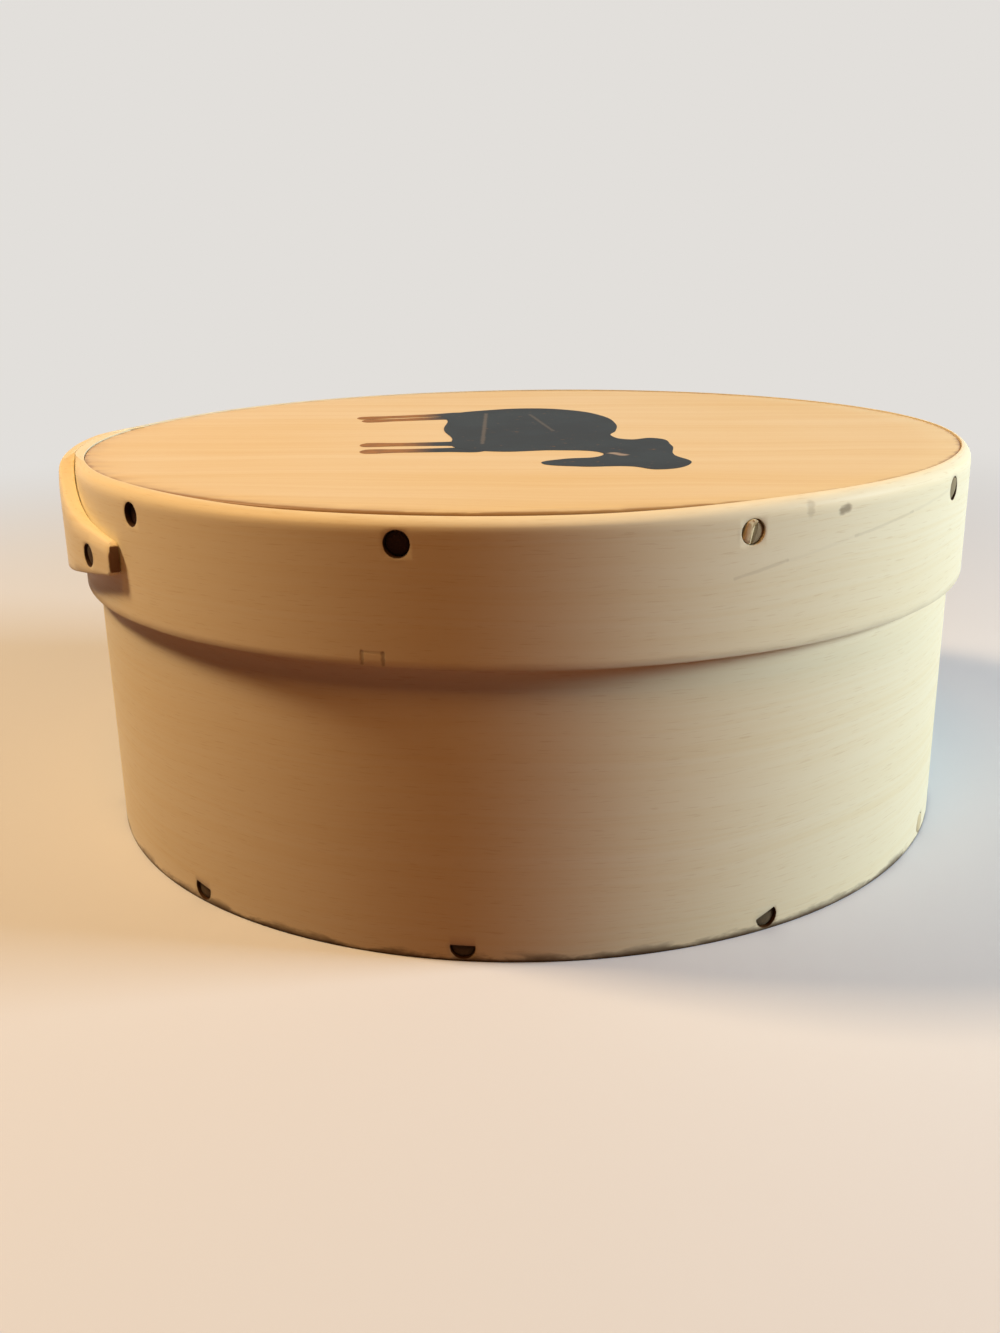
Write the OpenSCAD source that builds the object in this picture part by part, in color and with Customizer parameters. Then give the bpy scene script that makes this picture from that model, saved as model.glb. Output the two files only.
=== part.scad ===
// Round bentwood storage box with a lift-off lid, in millimetres, +Z up.
// Each band is one strip of wood bent into a ring. One end is pared thin and lies inside, and the other
// end climbs over it and tapers to a finger. Short wooden pegs hold the laps, and long ones hold each
// band to the edge of its board. The origin is the middle of the underside, with the lid closed.

/* [Box] */
// Outside diameter of the box band
box_d = 222; // [180:1:300]
// Height of the box band
box_h = 83.1; // [76:0.1:140]
// Thickness of the strip that the box band is bent from
box_strip = 3; // [2:0.1:5]
// Thickness of the bottom board
bottom_t = 6.5; // [6:0.1:14]

/* [Lid] */
// Depth of the lid band from its rim to its lower edge
lid_depth = 30.4; // [27:0.1:40]
// Thickness of the strip that the lid band is bent from
lid_strip = 2.4; // [2:0.1:5]
// Thickness of the lid board
lid_board_t = 11.2; // [6:0.1:12]
// Height of the rim above the lid board
rim_rise = 0.2; // [0.1:0.1:3]
// Radius of the rim's rounded outer edge
rim_round = 2.2; // [0.5:0.1:2.3]
// Rounding of the outer upper edge of the lid's finger
lap_round = 1.8; // [0.5:0.1:2]
// Radius of the lid board's eased upper edge
board_round = 0.6; // [0.2:0.1:2]

/* [Laps] */
// Length of each finger along the band
lap_len = 85; // [70:1:100]
// Length of band over which the outer layer climbs onto the lap
ramp_len = 20; // [14:1:24]
// Thickness left on the pared inner end
pared_end = 0.6; // [0.3:0.1:1.2]
// Turn of the box finger's middle about +Z
box_lap_turn = 125; // [110:1:140]
// Height of the box finger's lower edge above the table
box_lap_foot = 8; // [7:0.5:14]
// Clear height between the box finger and the closed lid
box_lap_clear = 6; // [2:0.5:12]
// Height of the box finger's tip
box_tip_h = 14; // [10:0.5:18]
// Length over which the box finger tapers
box_taper = 62; // [50:1:68]
// Turn of the lid finger's middle about +Z
lid_lap_turn = -162.7; // [-170:0.1:-158]
// Height of the lid finger's tip
lid_tip_h = 7.3; // [6:0.1:12]
// Height of the lid finger's tip above the lid's lower edge
lid_tip_rise = 10.3; // [6:0.1:12]
// Length over which the lid finger's upper edge tapers
lid_taper_top = 54; // [40:1:66]
// Length from the lid finger's tip to the bend in its upper edge
lid_waist_back = 21; // [15:1:30]
// Height of that bend above the lid's lower edge
lid_waist_rise = 20.2; // [18:0.1:24]
// Length over which the lid finger's lower edge tapers
lid_taper_low = 72; // [40:1:90]
// Gap between the lid band and its finger, which stands off a little
lid_lap_stand = 0.9; // [0.1:0.1:2]
// Thickness of the lid's finger, left thicker than the rest of its strip
lid_finger_t = 3.1; // [2:0.1:5]

/* [Pegs] */
// Diameter of the pegs
peg_d = 5; // [3:0.1:5.4]
// Length of the pegs that go into the boards
peg_len = 16; // [10:1:30]
// Length of the whittled point on those pegs
peg_point = 2; // [1:0.5:4]
// Depth of the peg ends below the surface of the band
peg_recess = 1.2; // [0.2:0.1:1.5]
// Number of pegs round each board
peg_n = 10; // [6:1:10]
// Turn from one peg to the next
peg_pitch = 34.6; // [30:0.1:36]
// Turn of the first box peg about +Z
box_peg_turn = 123.4; // [120:0.1:130]
// Turn of the first lid peg about +Z, which goes through the lap
lid_peg_turn = -172.4; // [-175:0.1:-170]
// Distance of the box's first lap peg from the tip of its finger
lap_peg_tip = 17; // [12:0.5:24]
// Distance of the box's other lap pegs from the tip of their finger
lap_peg_root = 60; // [45:1:64]
// Distance of the lid's first lap peg from the tip of its finger
lid_lap_peg_tip = 11.6; // [9:0.1:16]
// Height of the lid's lap pegs above the lid's lower edge
lid_lap_peg_rise = 13.1; // [10:0.1:15]
// Height of the box's root pegs above and below its first lap peg
box_lap_peg_spread = 13; // [8:0.5:17]

/* [Clearances] */
// Gap all round between the box band and the lid band
lid_gap = 0.5; // [0.3:0.1:2]
// Gap all round between a board and its band
board_gap = 0.05; // [0.02:0.01:0.3]
// Gap all round between a peg and its hole
peg_gap = 0.05; // [0.02:0.01:0.3]
// Glue line between the layers of a lap
glue_gap = 0.15; // [0.1:0.05:0.4]

/* [Hidden] */
$fn = 128;

band_wood = [0.90, 0.80, 0.60];
board_wood = [0.94, 0.75, 0.50];
peg_wood = [0.22, 0.13, 0.07];

box_r = box_d / 2;
box_in = box_r - box_strip;
lid_in = box_r + lid_gap;
lid_r = lid_in + lid_strip;
lid_top = box_h + lid_board_t + rim_rise;
lid_low = lid_top - lid_depth;

// Outer radius of the finger that lies on each band
box_lap_r = box_r + glue_gap + box_strip;
lid_lap_r = lid_r + lid_lap_stand + lid_finger_t;

box_lap_top = lid_low - box_lap_clear;
box_lap_mid = (box_lap_foot + box_lap_top) / 2;
// Height of the box finger's upper edge halfway along its straight taper
box_waist = (box_lap_top + box_lap_mid + box_tip_h / 2) / 2;
box_peg_z = bottom_t / 2;
lid_peg_z = box_h + lid_board_t / 2;
lid_lap_peg_z = lid_low + lid_lap_peg_rise;

// Turn about the middle that goes with an arc along a circle of radius r
function turn(r, arc) = arc / r * 180 / PI;

// Plan point at radius r and turn a
function polar(r, a) = [r * cos(a), r * sin(a)];

// Sideways reach of a point an arc away from the front of a circle of radius r
function reach(r, arc) = r * sin(turn(r, arc));

// Turn from a finger's middle to a place measured back from its tip
function from_tip(r, back) = turn(r, lap_len / 2 - back);

// Solid disc with its upper outer edge rounded
module eased_disc(r, low, high, round) {
    rotate_extrude() {
        translate([0, low])
            square([r, high - low - round]);
        translate([0, low])
            square([r - round, high - low]);
        intersection() {
            translate([r - round, high - round])
                circle(round);
            translate([r - round, high - round])
                square(round);
        }
    }
}

// Plan of the stretch where the outer layer climbs onto the lap, with a tongue into the finger
module ramp_plan(r, strip, stand, thick) {
    root = -turn(r, lap_len / 2);
    start = root - turn(r, ramp_len);
    tongue = root + turn(r, strip);
    under = r + stand;
    polygon([
        polar(r - strip / 2, start),
        polar(r - strip / 4, start),
        polar(under + thick, root),
        polar(under + thick * 3 / 4, tongue),
        polar(under + thick / 4, tongue),
        polar(under, root)
    ]);
}

// Plan of the thin slit between the pared inner end and the layer that climbs over it
module slit_plan(r, strip, stand) {
    root = -turn(r, lap_len / 2);
    start = root - turn(r, ramp_len);
    kerf = turn(r, glue_gap);
    inside = r - 2 * strip;
    pared = r - strip + pared_end;
    polygon([
        polar(inside, start),
        polar(pared, start),
        polar(r + glue_gap / 2, root + 2 * kerf),
        polar(r + stand + glue_gap, root),
        polar(pared + glue_gap, start - kerf),
        polar(inside, start - kerf)
    ]);
}

// Side outline of the outer layer: full height at the root, tapered to the tip of the finger
module lap_outline(r, low, high, tip_low, tip_high, taper_low, taper_top, waist_back, waist) {
    tip = lap_len / 2;
    behind = -r;
    polygon([
        [behind, low],
        [reach(r, tip - taper_low), low],
        [reach(r, tip), tip_low],
        [reach(r, tip), tip_high],
        [reach(r, tip - waist_back), waist],
        [reach(r, tip - taper_top), high],
        [behind, high]
    ]);
}

// Outer layer of a lap with the middle of its finger towards +X; the child is its side outline
module lap_layer(r, strip, low, high, stand, thick) {
    intersection() {
        union() {
            translate([0, 0, low - 2 * strip])
                linear_extrude(high - low + 4 * strip)
                    ramp_plan(r, strip, stand, thick);
            rotate([0, 0, -turn(r, lap_len / 2)])
                rotate_extrude(angle = turn(r, lap_len))
                    translate([r + stand, low - strip])
                        square([thick, high - low + 2 * strip]);
        }
        rotate([90, 0, 90])
            linear_extrude(r + stand + 2 * thick)
                children();
    }
}

// Opening through a band that leaves its strip's thickness
module band_bore(r, strip, low, high) {
    translate([0, 0, low - strip])
        cylinder(r = r - strip, h = high - low + 2 * strip);
}

// Slit through a band from edge to edge
module lap_slit(r, strip, low, high, stand) {
    translate([0, 0, low - strip])
        linear_extrude(high - low + 2 * strip)
            slit_plan(r, strip, stand);
}

// Peg that points to the middle, its flat end at radius r
module peg(r, a, z, length) {
    rotate([0, 0, a])
        translate([r - length, 0, z])
            rotate([0, 90, 0]) {
                cylinder(d1 = peg_d / 2, d2 = peg_d, h = peg_point);
                translate([0, 0, peg_point])
                    cylinder(d = peg_d, h = length - peg_point);
            }
}

// Hole for a peg, open at radius r and past it
module peg_hole(r, a, z, length) {
    rotate([0, 0, a])
        translate([r - length - peg_gap, 0, z])
            rotate([0, 90, 0])
                cylinder(d = peg_d + 2 * peg_gap, h = length + peg_d);
}

// Short peg through both layers of a lap, its inner end flush with the inside of the band
module lap_peg(inner, outer, a, z) {
    rotate([0, 0, a])
        translate([inner, 0, z])
            rotate([0, 90, 0])
                cylinder(d = peg_d, h = outer - peg_recess - inner);
}

// Hole for a short peg, through both layers
module lap_peg_hole(inner, outer, a, z) {
    rotate([0, 0, a])
        translate([inner - peg_d, 0, z])
            rotate([0, 90, 0])
                cylinder(d = peg_d + 2 * peg_gap, h = outer - inner + 2 * peg_d);
}

// Places of the pegs in the box's lap, each a turn and a height
function box_lap_places() = [
    [box_lap_turn + from_tip(box_r, lap_peg_tip), box_lap_mid],
    for (side = [-1, 1])
        [box_lap_turn + from_tip(box_r, lap_peg_root), box_lap_mid + side * box_lap_peg_spread]
];

// Places of the short pegs in the lid's lap, each a turn and a height: near the tip, and below a board peg
function lid_lap_places() = [
    for (a = [lid_lap_turn + from_tip(lid_r, lid_lap_peg_tip), lid_peg_turn])
        [a, lid_lap_peg_z]
];

// Radius of the band's surface where a lid peg comes out: the first one goes through the lap
function lid_peg_face(k) = k == 0 ? lid_lap_r : lid_r;

// Length of a lid peg: the one through the lap is longer by the outer layer
function lid_peg_len(k) = peg_len + lid_peg_face(k) - lid_r;

// Holes of the box pegs
module box_peg_holes() {
    for (k = [0 : peg_n - 1])
        peg_hole(box_r - peg_recess, box_peg_turn + k * peg_pitch, box_peg_z, peg_len);
}

// Holes of the lid pegs
module lid_peg_holes() {
    for (k = [0 : peg_n - 1])
        peg_hole(lid_peg_face(k) - peg_recess, lid_peg_turn + k * peg_pitch, lid_peg_z, lid_peg_len(k));
}

module box_band() {
    color(band_wood)
        difference() {
            union() {
                cylinder(r = box_r, h = box_h);
                rotate([0, 0, box_lap_turn])
                    lap_layer(box_r, box_strip, box_lap_foot, box_lap_top, glue_gap, box_strip)
                        lap_outline(box_r, box_lap_foot, box_lap_top, box_lap_mid - box_tip_h / 2,
                                    box_lap_mid + box_tip_h / 2, box_taper, box_taper,
                                    box_taper / 2, box_waist);
            }
            band_bore(box_r, box_strip, 0, box_h);
            rotate([0, 0, box_lap_turn])
                lap_slit(box_r, box_strip, 0, box_h, glue_gap);
            box_peg_holes();
            for (p = box_lap_places())
                lap_peg_hole(box_in, box_lap_r, p[0], p[1]);
        }
}

module bottom_board() {
    color(board_wood)
        difference() {
            cylinder(r = box_in - board_gap, h = bottom_t);
            box_peg_holes();
        }
}

module box_pegs() {
    color(peg_wood)
        for (k = [0 : peg_n - 1])
            peg(box_r - peg_recess, box_peg_turn + k * peg_pitch, box_peg_z, peg_len);
}

module box_lap_pegs() {
    color(peg_wood)
        for (p = box_lap_places())
            lap_peg(box_in, box_lap_r, p[0], p[1]);
}

module lid_band() {
    color(band_wood)
        difference() {
            union() {
                eased_disc(lid_r, lid_low, lid_top, rim_round);
                intersection() {
                    rotate([0, 0, lid_lap_turn])
                        lap_layer(lid_r, lid_strip, lid_low, lid_top, lid_lap_stand, lid_finger_t)
                            lap_outline(lid_r, lid_low, lid_top, lid_low + lid_tip_rise,
                                        lid_low + lid_tip_rise + lid_tip_h, lid_taper_low, lid_taper_top,
                                        lid_waist_back, lid_low + lid_waist_rise);
                    eased_disc(lid_lap_r, lid_low, lid_top, lap_round);
                }
            }
            band_bore(lid_r, lid_strip, lid_low, lid_top);
            rotate([0, 0, lid_lap_turn])
                lap_slit(lid_r, lid_strip, lid_low, lid_top, lid_lap_stand);
            lid_peg_holes();
            for (p = lid_lap_places())
                lap_peg_hole(lid_in, lid_lap_r, p[0], p[1]);
        }
}

module lid_board() {
    color(board_wood)
        difference() {
            eased_disc(lid_in - board_gap, box_h, box_h + lid_board_t, board_round);
            lid_peg_holes();
        }
}

module lid_pegs() {
    color(peg_wood)
        for (k = [0 : peg_n - 1])
            peg(lid_peg_face(k) - peg_recess, lid_peg_turn + k * peg_pitch, lid_peg_z, lid_peg_len(k));
}

module lid_lap_pegs() {
    color(peg_wood)
        for (p = lid_lap_places())
            lap_peg(lid_in, lid_lap_r, p[0], p[1]);
}

box_band();
bottom_board();
box_pegs();
box_lap_pegs();
lid_band();
lid_board();
lid_pegs();
lid_lap_pegs();
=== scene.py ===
"""Looks of a round bentwood storage box with a lift-off lid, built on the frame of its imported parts.

Each band is made as the real one is: a flat strip is ruled, its finger is cut, its holes are drilled, it
gets its thickness and eased edges, and then it is bent round. Lengths are in metres, turns in degrees.
"""
import logging
import math
from dataclasses import dataclass, field, replace
from enum import Enum
from typing import Callable, Optional, Sequence, Union

import bmesh
import bpy
from bmesh.types import BMEdge, BMesh, BMFace, BMVert
from bpy.types import ID, Material, Node, NodeSocket, NodeTree, Object
from mathutils import Matrix, Vector, noise


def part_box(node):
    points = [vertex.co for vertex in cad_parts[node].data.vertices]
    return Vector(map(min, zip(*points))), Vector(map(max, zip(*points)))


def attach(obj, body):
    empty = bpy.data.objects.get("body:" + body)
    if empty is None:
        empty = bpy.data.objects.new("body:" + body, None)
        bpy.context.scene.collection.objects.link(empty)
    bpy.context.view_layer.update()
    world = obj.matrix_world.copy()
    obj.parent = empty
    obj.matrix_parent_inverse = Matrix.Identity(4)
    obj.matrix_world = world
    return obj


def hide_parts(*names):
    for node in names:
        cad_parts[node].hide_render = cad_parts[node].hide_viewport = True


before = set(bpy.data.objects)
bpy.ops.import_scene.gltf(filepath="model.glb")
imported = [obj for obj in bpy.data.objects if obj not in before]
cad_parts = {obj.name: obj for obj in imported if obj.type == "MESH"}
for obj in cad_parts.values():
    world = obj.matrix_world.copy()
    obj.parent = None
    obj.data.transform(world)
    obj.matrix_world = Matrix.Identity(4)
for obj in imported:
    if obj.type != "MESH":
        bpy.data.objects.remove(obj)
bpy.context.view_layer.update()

LOG = logging.getLogger("bentwood_box")
MM = 0.001
NEAR = MM / 100.0
CUT_NEAR = MM / 1000.0
FULL_TURN = 360.0
LEVEL = (1.0, 1.0, 0.0)
BORE_CELLS = 8
STRIP_MAP = "strip"
HOLE_GAP = "hole_gap"
PEG_TONE = "paleness"
SHARP_TURN = 50.0
SMOOTH_TURN = 38.0

Colour = tuple[float, float, float, float]
Pair = tuple[float, float]
Triple = tuple[float, float, float]
Value = Union[float, Sequence[float], NodeSocket]
Sockets = bpy.types.bpy_prop_collection


class Body(Enum):
    """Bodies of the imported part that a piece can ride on."""

    BOX = "box"
    LID = "lid"


class Slot(Enum):
    """Material slots of the record."""

    BAND = "band_wood"
    BOARD = "board_wood"
    PEG = "peg_wood"
    PAINT = "lid_paint"


class Keep(Enum):
    """Side of a cut line that stays."""

    BELOW = 1.0
    ABOVE = -1.0


def shade(red: int, green: int, blue: int) -> Colour:
    """Linear colour from the 0 to 255 values of a colour as it is seen.

    Args:
        red: Red, from 0 to 255.
        green: Green.
        blue: Blue.

    Returns:
        The colour, fully opaque.
    """
    full, knee, slope, lift, power = 255.0, 0.04045, 12.92, 0.055, 2.4
    parts = [part / full for part in (red, green, blue)]
    flat = [p / slope if p <= knee else ((p + lift) / (1.0 + lift)) ** power for p in parts]
    return (flat[0], flat[1], flat[2], 1.0)


def smooth(share: float) -> float:
    """Eased step from 0 to 1."""
    held = min(max(share, 0.0), 1.0)
    return held * held * (3.0 - 2.0 * held)


def polar(radius: float, turn: float, height: float) -> Vector:
    """Point at a radius, a turn in radians and a height."""
    return Vector((radius * math.cos(turn), radius * math.sin(turn), height))


def ladder(low: float, high: float, step: float, bores: Sequence[float] = (), half: float = 0.0,
           stops: Sequence[float] = ()) -> list[float]:
    """Places of a sheet's lines between two ends.

    Args:
        low: First line.
        high: Last line.
        step: Widest cell.
        bores: Middles of holes, which get even cells round them.
        half: Half the width of the cells round a hole.
        stops: Lines that have to be there.

    Returns:
        The lines in rising order.
    """
    place_digits, line_digits = 6, 7
    places = sorted({round(place, place_digits) for place in bores})
    edges = [place + side * half for place in places for side in (-1.0, 1.0)]
    marks = sorted({round(mark, line_digits) for mark in [low, high, *edges, *stops]})
    lines = [marks[0]]
    for start, end in zip(marks, marks[1:]):
        middle = (start + end) / 2.0
        bored = any(abs(middle - place) < half for place in places)
        cells = BORE_CELLS if bored else math.ceil((end - start) / step)
        lines += [start + (end - start) * (cell + 1) / cells for cell in range(cells)]
    return lines


@dataclass(frozen=True)
class FlatSide:
    """Flat side of a hole or peg: its distance as a share of the radius, and its lean from straight up."""

    share: float = 1.0
    lean: float = 0.0

    @property
    def outward(self) -> Vector:
        """Direction away from the middle, on the flat strip."""
        lean = math.radians(self.lean)
        return Vector((math.sin(lean), math.cos(lean), 0.0))


ROUND = FlatSide()


def thickened(bm: BMesh, faces: list[BMFace], thickness: float) -> None:
    """Raises a second face over flat faces and walls in between.

    Args:
        bm: Mesh that holds the faces.
        faces: The flat faces.
        thickness: Height of the second face over the first.
    """
    made = bmesh.ops.extrude_face_region(bm, geom=faces, use_keep_orig=True)["geom"]
    verts = [part for part in made if isinstance(part, BMVert)]
    bmesh.ops.translate(bm, verts=verts, vec=(0.0, 0.0, thickness))


def rounded(bm: BMesh, edges: Sequence[BMEdge], offset: float, cuts: int = 2) -> None:
    """Rounds edges with a few cuts."""
    bmesh.ops.bevel(bm, geom=edges, offset=offset, segments=cuts, profile=0.5, affect="EDGES", material=-1)


@dataclass
class FlatSheet:
    """Sheet of wood laid flat: x runs along it, y across it and z through its thickness."""

    bm: BMesh

    @classmethod
    def ruled(cls, columns: Sequence[float], rows: Sequence[float]) -> "FlatSheet":
        """Lays a sheet whose cells follow the given lines.

        Args:
            columns: Lines across the sheet, by their place along it.
            rows: Lines along the sheet, by their place across it.

        Returns:
            The new sheet.
        """
        bm = bmesh.new()
        across, up, half = len(columns) - 1, len(rows) - 1, 0.5
        bmesh.ops.create_grid(bm, x_segments=across, y_segments=up, size=half)
        for vert in bm.verts:
            column, row = round((vert.co.x + half) * across), round((vert.co.y + half) * up)
            vert.co = (columns[column], rows[row], 0.0)
        return cls(bm)

    def score(self, start: Vector, end: Vector, keep: Keep) -> None:
        """Cuts the sheet along a line between two of its columns.

        Args:
            start: Where the cut begins.
            end: Where it ends, further along the sheet.
            keep: Side of the line that stays.
        """
        slope = (end.y - start.y) / (end.x - start.x)
        columns: dict[int, list[BMVert]] = {}
        for vert in self.bm.verts:
            if start.x - NEAR < vert.co.x < end.x + NEAR:
                columns.setdefault(round(vert.co.x / NEAR), []).append(vert)
        # The nearest point of each column moves onto the line, so that the cut leaves no slivers.
        for verts in columns.values():
            line = start.y + slope * (verts[0].co.x - start.x)
            nearest = min(verts, key=lambda vert: abs(vert.co.y - line))
            nearest.co.y = line
        faces = [face for face in self.bm.faces if start.x < face.calc_center_median().x < end.x]
        edges = {edge for face in faces for edge in face.edges}
        geometry = [*faces, *edges, *{vert for edge in edges for vert in edge.verts}]
        normal = Vector((-slope, 1.0, 0.0)).normalized() * keep.value
        bmesh.ops.bisect_plane(self.bm, geom=geometry, dist=CUT_NEAR, plane_co=start, plane_no=normal,
                               clear_outer=True)
        loose = [edge for edge in self.bm.edges if not edge.link_faces]
        bmesh.ops.delete(self.bm, geom=loose, context="EDGES")
        cut = [vert for vert in self.bm.verts if start.x - NEAR < vert.co.x < end.x + NEAR
               and abs(vert.co.y - start.y - slope * (vert.co.x - start.x)) < NEAR]
        ruled = [vert for vert in cut if round(vert.co.x / NEAR) in columns]
        # Points that the cut made between two columns join the nearer one.
        stray = {vert: min(ruled, key=lambda other: abs(other.co.x - vert.co.x))
                 for vert in set(cut) - set(ruled)}
        bmesh.ops.weld_verts(self.bm, targetmap=stray)

    def drop(self, unwanted: Callable[[Vector], bool]) -> None:
        """Removes the cells whose middle the test picks."""
        faces = [face for face in self.bm.faces if unwanted(face.calc_center_median())]
        bmesh.ops.delete(self.bm, geom=faces, context="FACES")

    def free(self, row: float, start: float, shift: float) -> None:
        """Saws along a row from a column on, and opens the saw cut away from the row.

        Args:
            row: Place of the cut across the sheet.
            start: Column where the cut begins.
            shift: Width of the cut, with the side that gives way as its sign.
        """
        cut = [edge for edge in self.bm.edges if edge.is_manifold
               and all(abs(v.co.y - row) < NEAR and v.co.x > start - NEAR for v in edge.verts)]
        bmesh.ops.split_edges(self.bm, edges=cut)
        for face in self.bm.faces:
            middle = face.calc_center_median()
            if middle.x > start and (middle.y - row) * shift > 0.0:
                for vert in face.verts:
                    if abs(vert.co.y - row) < NEAR and vert.co.x > start + NEAR:
                        vert.co.y = row + shift

    def drill(self, along: float, across: float, radius: float, half: float,
              side: FlatSide = ROUND) -> list[BMEdge]:
        """Opens a hole in the even cells round a place.

        Args:
            along: Place of the hole along the sheet.
            across: Place of the hole across the sheet.
            radius: Radius of the hole.
            half: Half the width of the even cells.
            side: Flat side of the hole.

        Returns:
            The edges of the hole's rim.
        """
        inner = half * (1.0 - 1.0 / BORE_CELLS)
        inside = [v for v in self.bm.verts
                  if abs(v.co.x - along) < inner and abs(v.co.y - across) < inner]
        held = set(inside)
        border = list({e for v in inside for f in v.link_faces for e in f.edges if not held & set(e.verts)})
        bmesh.ops.delete(self.bm, geom=inside, context="VERTS")
        place = Matrix.Translation((along, across, -radius))
        ring = bmesh.ops.create_circle(self.bm, cap_ends=False, segments=len(border), radius=radius,
                                       matrix=place)["verts"]
        rim = list({edge for vert in ring for edge in vert.link_edges})
        bmesh.ops.bridge_loops(self.bm, edges=border + rim)
        bmesh.ops.translate(self.bm, verts=ring, vec=(0.0, 0.0, radius))
        for vert in ring:
            beyond = (vert.co - Vector((along, across, 0.0))).dot(side.outward) - side.share * radius
            vert.co -= side.outward * max(beyond, 0.0)
        return rim

    def sink(self, rim: list[BMEdge], depth: float) -> None:
        """Carries a hole's rim down to a closed end at a depth.

        Args:
            rim: Edges of the hole's rim.
            depth: Depth of its end.
        """
        made = bmesh.ops.extrude_edge_only(self.bm, edges=rim)["geom"]
        verts = [part for part in made if isinstance(part, BMVert)]
        edges = [part for part in made if isinstance(part, BMEdge)]
        bmesh.ops.translate(self.bm, verts=verts, vec=(0.0, 0.0, -depth))
        bmesh.ops.edgeloop_fill(self.bm, edges=edges)

    def face_up(self) -> None:
        """Turns all the cells the same way, with the finished side up."""
        bmesh.ops.recalc_face_normals(self.bm, faces=self.bm.faces[:])
        if sum(face.normal.z * face.calc_area() for face in self.bm.faces) < 0.0:
            bmesh.ops.reverse_faces(self.bm, faces=self.bm.faces[:])

    def thicken(self, thickness: float) -> None:
        """Raises a second face over the sheet and walls in between.

        Args:
            thickness: Thickness of the wood.
        """
        self.face_up()
        thickened(self.bm, self.bm.faces[:], thickness)
        bmesh.ops.recalc_face_normals(self.bm, faces=self.bm.faces[:])

    def ease(self, offset: float, wanted: Callable[[BMEdge], bool]) -> None:
        """Rounds the sharp edges that the test picks.

        Args:
            offset: Width of the rounding.
            wanted: Test of an edge.
        """
        limit = math.radians(SHARP_TURN)
        edges = [edge for edge in self.bm.edges if edge.calc_face_angle(0.0) > limit and wanted(edge)]
        rounded(self.bm, edges, offset)

    def bend(self, place: Callable[[Vector], Vector]) -> None:
        """Keeps each point's place on the flat sheet as an attribute, then moves it to the round.

        Args:
            place: Gives the place in the round of a point of the flat sheet.
        """
        layer = self.bm.verts.layers.float_vector.new(STRIP_MAP)
        for vert in self.bm.verts:
            vert[layer] = vert.co
            vert.co = place(vert.co)


def turned_out(bm: BMesh) -> None:
    """Turns the normals of one closed solid outward.

    Args:
        bm: The solid.
    """
    bmesh.ops.recalc_face_normals(bm, faces=bm.faces[:])
    if bm.calc_volume(signed=True) < 0.0:
        bmesh.ops.reverse_faces(bm, faces=bm.faces[:])


def raised(bm: BMesh, face: BMFace) -> BMFace:
    """Extrudes one face in place, so that its new end can be moved or scaled."""
    made = bmesh.ops.extrude_face_region(bm, geom=[face, *face.edges, *face.verts])["geom"]
    return next(part for part in made if isinstance(part, BMFace))


def placed(name: str, data: ID) -> Object:
    """Puts data into the scene as an object.

    Args:
        name: Name of the object.
        data: Its mesh, curve, lamp or camera.

    Returns:
        The new object.
    """
    made = bpy.data.objects.new(name, data)
    bpy.context.scene.collection.objects.link(made)
    return made


def finished(bm: BMesh, name: str, material: Material, body: Body, slot: Slot, *nodes: str) -> None:
    """Turns a finished bmesh into a piece that rides on its body.

    Args:
        bm: The shape, which is freed.
        name: Name of the piece.
        material: Its finish.
        body: Body that carries it.
        slot: Not used.
        nodes: Nodes of the frame that it stands for.
    """
    mesh = bpy.data.meshes.new(name)
    for face in bm.faces:
        face.smooth = True
    bm.to_mesh(mesh)
    bm.free()
    mesh.set_sharp_from_angle(angle=math.radians(SMOOTH_TURN))
    mesh.materials.append(material)
    piece = placed(name, mesh)
    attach(piece, body.value)
    if nodes:
        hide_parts(*nodes)
    LOG.info("%s: %d faces, rides on %s", name, len(mesh.polygons), body.value)


@dataclass(frozen=True)
class ThinMark:
    """A crack, scratch or nick: its two ends, its width and how much of it shows.

    An end is a turn in degrees and a height in mm on a band, and two places in mm on a board.
    """

    start: Pair
    end: Pair
    width: float
    share: float

    @property
    def ends(self) -> tuple[Pair, Pair]:
        """Both of its ends."""
        return (self.start, self.end)


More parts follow.
